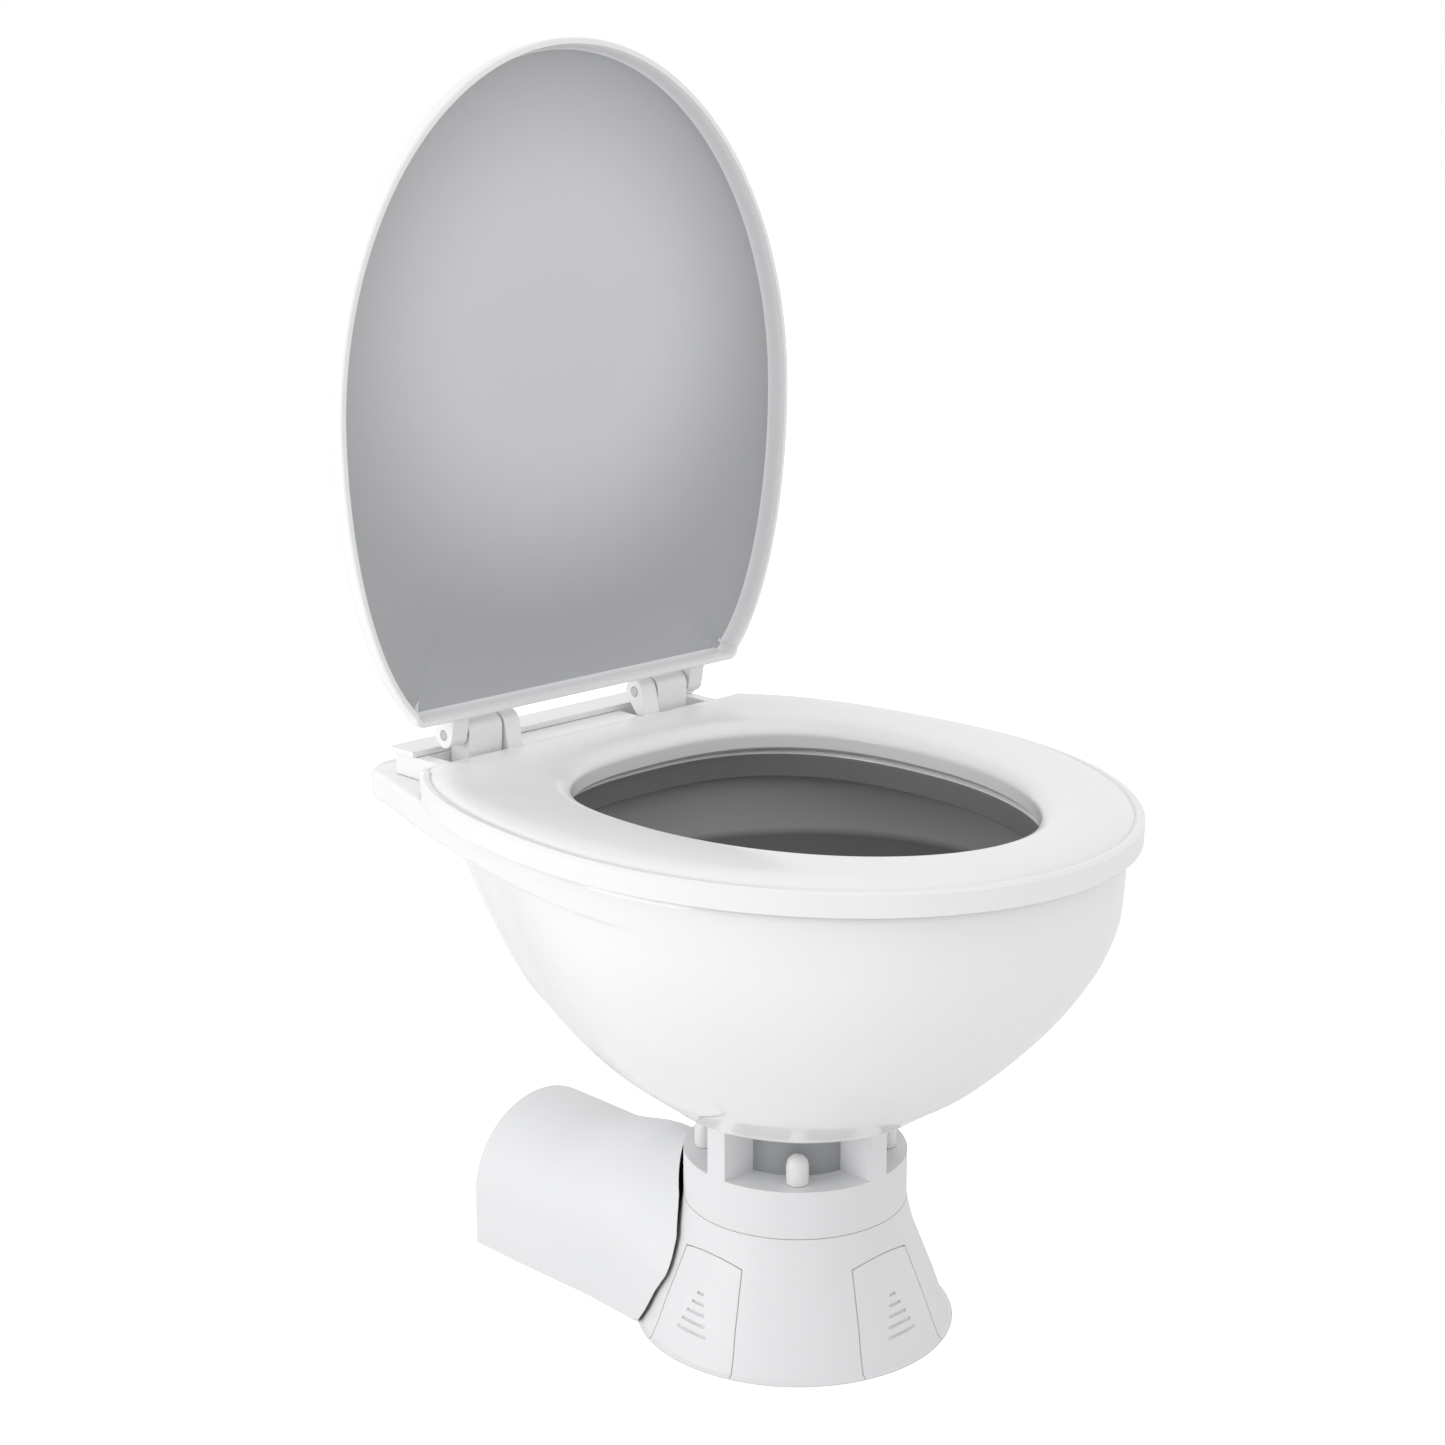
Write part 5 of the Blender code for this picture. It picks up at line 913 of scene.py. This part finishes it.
def make_hinge_block():
    low, above = RIM_Z + FIT, BLOCK_TOP_Z + OVERRUN
    block = box("hinge_block", (-BLOCK_HALF_LENGTH, BLOCK_FRONT_Y, low),
                (BLOCK_HALF_LENGTH, BLOCK_BACK_Y, BLOCK_TOP_Z), SHOWN)
    recess_low = SEAT_LUG_X - LUG_LENGTH / 2 - RUNNING_FIT * 4
    recess_high = LID_LUG_X + LUG_LENGTH / 2 + RUNNING_FIT * 4
    root = [(BLOCK_FRONT_Y + RUNNING_FIT * 5, low + FIT), (TONGUE_BACK_Y, low + FIT)]
    for side, hand in SIDES:
        ends = sorted((hand * recess_low, hand * recess_high))
        pillar_x = hand * PILLAR_X
        cut(block, box(f"lug_recess_{side}", (ends[0], BLOCK_FRONT_Y - OVERRUN, TONGUE_Z),
                       (ends[1], TONGUE_BACK_Y, above)))
        join(block, plate(f"pillar_{side}", hull(KNUCKLE + root), pillar_x - PILLAR_LENGTH / 2,
                          pillar_x + PILLAR_LENGTH / 2, "YZ"))
        cut(block, pin_rod(f"damper_bore_{side}", pillar_x, DAMPER_RADIUS + FIT, PILLAR_LENGTH),
            deck_rod(f"block_bolt_hole_{side}", hand, DECK_BOLT_RADIUS + FIT, low - OVERRUN,
                     above),
            deck_rod(f"block_head_recess_{side}", hand, DECK_BOLT_HEAD_RADIUS + FIT,
                     BLOCK_TOP_Z - DECK_BOLT_HEAD_HEIGHT - FIT, above))
    cap_low = BLOCK_TOP_Z + FIT
    end = BLOCK_HALF_LENGTH + CAP_OVERHANG
    box("hinge_cap", (-end, CAP_FRONT_Y, cap_low),
        (end, BLOCK_BACK_Y + CAP_OVERHANG, cap_low + CAP_THICKNESS), SHOWN)


# Materials

NOISE_LOW = 0.3
NOISE_HIGH = 0.7
BEVEL_SAMPLES = 6
GLOSS = (0.16, 0.24)  # ranges of roughness
SATIN = (0.36, 0.48)
GLOSS_MARKS = (1500, 0.00002)  # fineness and depth of tool marks
SATIN_MARKS = (2200, 0.00004)
RUBBER = ((60, 4), 0.12, (150,), (0.62, 0.80), (1800, 3), (0.00005, 0.5))
TURNED = (900, 2, (1, 1, 6))  # noise of the tool marks on steel
FLOW_MARKS = 22
FLOW_STRETCH = 0.35
# Painted shade on the lid's dish: grey from its middle outwards
LID_MIDDLE_Z = 0.585
LID_PALE_RADIUS = 0.070
LID_GREY_RADIUS = 0.200
# Painted shade in the bowl's hollow: the white glaze drawn grey, darker under the rim and below
# a painted shadow line
PAINTED_SHADOW_DEPTH = 0.056  # from the rim to the painted shadow line, below which the hollow is drawn darker
PAINTED_SHADOW_LINE_Z = RIM_Z - PAINTED_SHADOW_DEPTH
PAINTED_SHADOW_BLEND = 0.005


def connect(tree, node, sockets):
    """Sets inputs of a node; a socket given for an input is linked to it."""
    for key, value in sockets.items():
        if isinstance(value, bpy.types.NodeSocket):
            tree.links.new(value, node.inputs[key])
        else:
            node.inputs[key].default_value = value


def add(tree, kind, sockets=None, **settings):
    """A node with its settings and inputs."""
    node = tree.nodes.new(kind)
    for key, value in settings.items():
        setattr(node, key, value)
    connect(tree, node, sockets or {})
    return node


class Finish:
    """A principled material on object coordinates, built up one effect at a time."""

    def __init__(self, name, colour, metallic=0.0):
        self.material = bpy.data.materials.new(name)
        self.material.use_nodes = True
        self.material.diffuse_color = (*colour, 1)
        self.tree = self.material.node_tree
        self.shader = self.tree.nodes["Principled BSDF"]
        self.put({"Base Color": (*colour, 1), "Metallic": metallic})
        self.place = self.node("TexCoord").outputs["Object"]
        self.normal = None

    def put(self, sockets):
        connect(self.tree, self.shader, sockets)

    def node(self, kind, sockets=None, **settings):
        return add(self.tree, f"ShaderNode{kind}", sockets, **settings)

    def noise(self, scale, detail=3.0, stretch=None):
        at = self.place
        if stretch:
            at = self.node("Mapping", {"Vector": at, "Scale": stretch}).outputs[0]
        return self.node("TexNoise", {"Vector": at, "Scale": scale, "Detail": detail}
                         ).outputs["Fac"]

    def between(self, factor, low, high, start=NOISE_LOW, end=NOISE_HIGH, curve="LINEAR"):
        """A factor from start to end, or a noise in its usual range, spread over values."""
        return self.node("MapRange", {"Value": factor, "From Min": start, "From Max": end,
                                      "To Min": low, "To Max": high},
                         interpolation_type=curve).outputs["Result"]

    def mix(self, factor, first, second):
        sockets = {0: factor}
        for index, value in ((6, first), (7, second)):
            sockets[index] = value if isinstance(value, bpy.types.NodeSocket) else (*value, 1)
        return self.node("Mix", sockets, data_type="RGBA").outputs[2]

    def tint(self, factor, first, second):
        """Base colour between two colours."""
        self.put({"Base Color": self.mix(factor, first, second)})

    def rough(self, factor, low, high):
        self.put({"Roughness": self.between(factor, low, high)})

    def bevel(self, radius):
        """Edges that catch the light as moulded or glazed ones do."""
        self.bend(self.node("Bevel", {"Radius": radius}, samples=BEVEL_SAMPLES))

    def bump(self, height, distance, strength):
        sockets = {"Height": height, "Distance": distance, "Strength": strength}
        if self.normal is not None:
            sockets["Normal"] = self.normal
        self.bend(self.node("Bump", sockets))

    def bend(self, node):
        self.normal = node.outputs["Normal"]
        self.put({"Normal": self.normal})


def shades(colour, spread):
    """Two colours a little darker and lighter than one."""
    return [[min(c * factor, 1) for c in colour] for factor in (1 - spread, 1 + spread)]


def glaze(name, colour):
    """Fired glaze: a liquid surface with slow ripples, specks and a clear coat."""
    made = Finish(name, colour)
    made.tint(made.noise(14, 4), *shades(colour, 0.012))
    made.rough(made.noise(32), 0.07, 0.14)
    made.bevel(0.0012)
    made.bump(made.noise(55, 1), 0.0006, 0.12)
    made.bump(made.noise(900, 2), 0.00003, 0.25)
    made.put({"Coat Weight": 0.35, "Coat Roughness": 0.04})
    return made


def glaze_with_painted_shade(rim, wall, sump):
    """The glaze of the bowl's hollow in painted shade: dark on the rim's inner face, lighter on
    the wall, and darker again below a painted shadow line.
    """
    made = glaze("glaze with painted shade inside", wall)
    height = made.node("SeparateXYZ", {"Vector": made.place}).outputs["Z"]
    under_rim, in_painted_shadow = (made.between(height, 0, 1, line, line - PAINTED_SHADOW_BLEND)
                         for line in (RIM_Z - RIM_DEPTH, PAINTED_SHADOW_LINE_Z))
    made.tint(in_painted_shadow, made.mix(under_rim, rim, wall), sump)
    made.rough(made.noise(32), 0.34, 0.46)
    made.put({"Specular IOR Level": 0.2, "Coat Weight": 0})
    return made


def moulded(name, colour, rough, marks, edge=0.0005):
    """Moulded plastic: faint flow marks, a grained tool surface and soft edges."""
    made = Finish(name, colour)
    made.tint(made.noise(FLOW_MARKS, 5, (1, 1, FLOW_STRETCH)), *shades(colour, 0.014))
    made.rough(made.noise(26, 2), *rough)
    made.bevel(edge)
    grain, depth = marks
    made.bump(made.noise(grain, 2), depth, 0.35)
    made.bump(made.noise(14, 1), 0.0005, 0.06)
    return made


def lid_dish_painted_shade(middle, edge):
    """The lid's inner face in painted shade: duller, and greyer towards its rim."""
    made = Finish("lid plastic with painted shade", middle)
    at = made.node("Mapping", {"Vector": made.place, "Location": (0, 0, -LID_MIDDLE_Z),
                               "Scale": (1, 0, 1)}).outputs[0]
    near = made.node("VectorMath", {0: at}, operation="LENGTH").outputs["Value"]
    fade = made.between(near, 0, 1, LID_PALE_RADIUS, LID_GREY_RADIUS, "SMOOTHSTEP")
    flow = made.noise(FLOW_MARKS, 5, (1, FLOW_STRETCH, 1))
    made.tint(fade, made.mix(flow, *shades(middle, 0.01)), edge)
    made.rough(made.noise(18, 2), 0.34, 0.38)
    made.bevel(0.0006)
    made.bump(made.noise(1600, 2), 0.00001, 0.3)
    return made


def grained(name, colour, clouds, spread, patches, rough, grain, bump, metallic=0.0):
    """A clouded surface with a grain: noises for tint, roughness and height, and ranges."""
    made = Finish(name, colour, metallic)
    made.tint(made.noise(*clouds), *shades(colour, spread))
    made.rough(made.noise(*patches), *rough)
    made.bump(made.noise(*grain), *bump)
    return made


FINISHES = {
    "ceramic": glaze("glazed ceramic", (0.90, 0.90, 0.905)),
    "seat_plastic": moulded("gloss white plastic", (0.90, 0.90, 0.905), GLOSS, GLOSS_MARKS),
    "nut_cap_plastic": moulded("nut cap plastic", (0.80, 0.80, 0.805), (0.20, 0.30),
                               GLOSS_MARKS),
    "lid_plastic": moulded("lid plastic", (0.90, 0.905, 0.91), GLOSS, GLOSS_MARKS),
    "base_plastic": moulded("satin white plastic", (0.80, 0.805, 0.815), SATIN, SATIN_MARKS,
                            edge=0.0006),
    "black_plastic": moulded("black plastic", (0.035, 0.035, 0.037), (0.40, 0.55),
                             SATIN_MARKS),
    "pale_plastic": moulded("pale fitting plastic", (0.74, 0.75, 0.755), (0.34, 0.46),
                            (2200, 0.00003)),
    "black_rubber": grained("black rubber", (0.03, 0.03, 0.03), *RUBBER),
    "grey_rubber": grained("grey pad rubber", (0.42, 0.43, 0.44), *RUBBER),
    "stainless_steel": grained("stainless steel", (0.62, 0.62, 0.63), (80, 3), 0.05, TURNED,
                               (0.20, 0.38), TURNED, (0.00002, 0.4), metallic=1.0),
    "motor_paint": grained("motor paint", (0.62, 0.63, 0.64), (40, 4), 0.03, (90,),
                           (0.30, 0.42), (700, 2), (0.00005, 0.4)),
}
# painted shade: the white glaze drawn grey inside the bowl
BOWL_PAINTED_SHADE = glaze_with_painted_shade((0.24, 0.24, 0.24), (0.54, 0.54, 0.54), (0.22, 0.22, 0.22))
# painted shade: the lid's inner walls and dish drawn darker than its white outside
LID_WALL_PAINTED_SHADE = moulded("lid inner wall with painted shade", (0.86, 0.865, 0.875), (0.30, 0.36), GLOSS_MARKS)
LID_DISH_PAINTED_SHADE = lid_dish_painted_shade((0.68, 0.685, 0.70), (0.44, 0.445, 0.455))
# painted shade: the white collar's tube drawn grey where it shows in the pockets
TUBE_PAINTED_SHADE = moulded("inner tube in painted shade", (0.34, 0.35, 0.36), SATIN, SATIN_MARKS)


# Shells that show, made fine


def soft_shading():
    """A modifier's nodes: smooth shading with crisp corners, for the CAD nodes."""
    group = bpy.data.node_groups.new("soft shading", "GeometryNodeTree")
    for way in ("INPUT", "OUTPUT"):
        group.interface.new_socket("Geometry", in_out=way, socket_type="NodeSocketGeometry")
    skin = add(group, "NodeGroupInput").outputs[0]
    angle = add(group, "GeometryNodeInputMeshEdgeAngle").outputs[0]
    corner = add(group, "FunctionNodeCompare", {0: angle, 1: SMOOTH_ANGLE},
                 data_type="FLOAT", operation="GREATER_THAN").outputs[0]
    for kind, sockets, settings in (
            ("RemoveAttribute", {"Name": "custom_normal"}, {}),
            ("MergeByDistance", {"Distance": WELD}, {}),
            ("SetShadeSmooth", {}, {"domain": "FACE"}),
            ("SetShadeSmooth", {"Selection": corner, "Shade Smooth": False},
             {"domain": "EDGE"})):
        skin = add(group, f"GeometryNode{kind}", {"Geometry": skin, **sockets},
                   **settings).outputs[0]
    add(group, "NodeGroupOutput", {0: skin})
    return group


def settle(name, thing):
    """Applies a shell's cuts and lets it stand for its CAD node."""
    mesh = applied_mesh(thing)
    mesh.transform(thing.matrix_world)
    slots = [int(finish_of(name, face)) for face in mesh.polygons]
    if BODY_OF[name] == "lid":
        hinge = Matrix.Translation((0, HINGE_Y, HINGE_Z))
        mesh.transform(hinge @ Matrix.Rotation(-LID_OPEN_ANGLE, 4, "X") @ hinge.inverted())
    mesh.shade_smooth()
    mesh.set_sharp_from_angle(angle=SMOOTH_ANGLE)
    piece = linked(f"{name}_shell", mesh)
    mesh.materials.clear()
    for finish in (FINISHES[SLOTS[name]], *PAINTED_SHADE_FINISHES.get(name, ())):
        mesh.materials.append(finish.material)
    mesh.polygons.foreach_set("material_index", slots)
    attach(piece, BODY_OF[name])
    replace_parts(piece, name)


def finish_of(name, face):
    """Which of a shell's finishes in painted shade a face takes, from 1 on; 0 is its own."""
    (x, y, z), way = face.center, face.normal
    rearward = y - HOLE_CENTRE_Y
    to_hole = way.x * x + way.y * rearward < 0
    outward = way.x * x + way.y * y
    if name == "bowl":  # its hollow, which takes the glaze with painted shade
        within = hypot(x, rearward) < CAVITY_FRONT + FIT and rearward < CAVITY_REAR + FIT
        return to_hole and within and z < RIM_Z - RIM_ROUND
    if name == "lid":  # its dish, in painted shade: the ceiling, then the inner walls
        if z > LID_RIM_Z + LID_EDGE and y < SEAT_BACK_Y:
            return 1 if way.z < CEILING_SLOPE else 2 * (to_hole and way.z < WALL_SLOPE)
    if name == "collar":  # the tube that shows in its pockets, drawn grey as painted shade
        return outward > 0 and hypot(x, y) < COLLAR_TUBE_RADIUS + FIT and z > COLLAR_FLOOR_Z
    if name == "motor_cover":  # its edge along the ring and the foot, drawn black as painted shadow in the seam
        beside = RING_RADIUS if z > FOOT_TOP_Z else foot_radius_at(z)
        return outward < 0 and abs(hypot(x, y) - beside - HOOD_SEAM) < HOOD_SEAM / 4
    return 0


CEILING_SLOPE = -0.6  # upright part of a face's direction, under which it is ceiling
WALL_SLOPE = 0.2
# finishes in painted shade that stand in for shadow on the shells
PAINTED_SHADE_FINISHES = {
    "bowl": (BOWL_PAINTED_SHADE,),
    "lid": (LID_DISH_PAINTED_SHADE, LID_WALL_PAINTED_SHADE),
    "collar": (TUBE_PAINTED_SHADE,),
    # painted shadow: the hood's edge at the seam drawn in black plastic
    "motor_cover": (FINISHES["black_plastic"],),
}


make_bowl()
make_foot()
make_screw_covers()
make_collar()
make_motor_cover()
make_seat()
make_lid()
make_hinge_block()
for shell_name, shell in MADE.items():
    settle(shell_name, shell)
for thing in list(SCENE.objects):
    if thing.type == "MESH" and "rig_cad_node" not in thing and "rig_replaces" not in thing:
        bpy.data.objects.remove(thing, do_unlink=True)
SOFT_SHADING = soft_shading()
for node_name, node in frame["nodes"].items():
    if node_name not in MADE:
        node.data.materials.clear()
        node.data.materials.append(FINISHES[SLOTS[node_name]].material)
        node.modifiers.new("soft shading", "NODES").node_group = SOFT_SHADING


# Floor, light and camera


def make_world():
    """Soft light from all sides, and plain white to the camera and in reflections."""
    world = bpy.data.worlds.new("studio")
    world.use_nodes = True
    tree = world.node_tree
    tree.nodes.clear()
    soft, plain = (add(tree, "ShaderNodeBackground", {"Color": WHITE, "Strength": power}
                       ).outputs[0] for power in (WORLD_LIGHT, 1.0))
    rays = add(tree, "ShaderNodeLightPath").outputs
    seen = rays["Is Camera Ray"]
    for ray in ("Is Glossy Ray", "Is Transmission Ray"):
        seen = add(tree, "ShaderNodeMath", {0: seen, 1: rays[ray]},
                   operation="MAXIMUM").outputs[0]
    shown = add(tree, "ShaderNodeMixShader", {0: seen, 1: soft, 2: plain})
    add(tree, "ShaderNodeOutputWorld", {"Surface": shown.outputs[0]})
    SCENE.world = world


def make_floor():
    """A matt floor that the camera sees as nearly white, with its shadows."""
    mesh = bpy.data.meshes.new("floor")
    corners = ((-1, -1), (1, -1), (1, 1), (-1, 1))
    mesh.from_pydata([(x * FLOOR_REACH, y * FLOOR_REACH, FLOOR_Z) for x, y in corners],
                     [], [range(len(corners))])
    material = bpy.data.materials.new("white floor")
    material.use_nodes = True
    tree = material.node_tree
    tree.nodes.clear()
    matt = add(tree, "ShaderNodeBsdfDiffuse", {"Color": FLOOR_COLOUR})
    glow = add(tree, "ShaderNodeEmission", {"Color": WHITE})
    rays = add(tree, "ShaderNodeLightPath").outputs
    lift = add(tree, "ShaderNodeMath", {0: rays["Is Camera Ray"], 1: FLOOR_LIFT},
               operation="MULTIPLY").outputs[0]
    tree.links.new(lift, glow.inputs["Strength"])
    both = add(tree, "ShaderNodeAddShader", {0: matt.outputs[0], 1: glow.outputs[0]})
    add(tree, "ShaderNodeOutputMaterial", {"Surface": both.outputs[0]})
    mesh.materials.append(material)
    linked("floor", mesh)


def aim(name, data, spot, back):
    """Puts a lamp or a camera on a spot, with its back to a direction."""
    thing = linked(name, data)
    thing.location = spot
    thing.rotation_euler = back.to_track_quat("Z", "Y").to_euler()
    return thing


def make_light(name, way, size, power):
    """A square soft box that looks at the toilet from a direction."""
    data = bpy.data.lights.new(name, "AREA")
    data.size = size
    data.energy = power
    way = Vector(way).normalized()
    aim(name, data, CAMERA_TARGET + way * LIGHT_DISTANCE, way)


def make_camera():
    data = bpy.data.cameras.new("camera")
    data.lens = CAMERA_LENS
    SCENE.camera = aim("camera", data, CAMERA_PLACE, CAMERA_PLACE - CAMERA_TARGET)


CAMERA_PLACE = Vector((-1.0272, -0.9762, 0.7422))
CAMERA_TARGET = Vector((0, 0.0629, 0.3622))
CAMERA_LENS = 62.75
WHITE = (1, 1, 1, 1)
FLOOR_COLOUR = (0.90, 0.90, 0.90, 1)
WORLD_LIGHT = 0.86
LIGHT_DISTANCE = 2.4
FLOOR_Z = -0.0002
FLOOR_REACH = 12
FLOOR_LIFT = 0.62
make_world()
make_floor()
make_light("left key", (-0.95, 0.30, 0.14), size=1.4, power=14)
make_light("top fill", (0.1, -0.25, 1), size=2.0, power=2)
make_camera()
SCENE.view_settings.view_transform = "Standard"
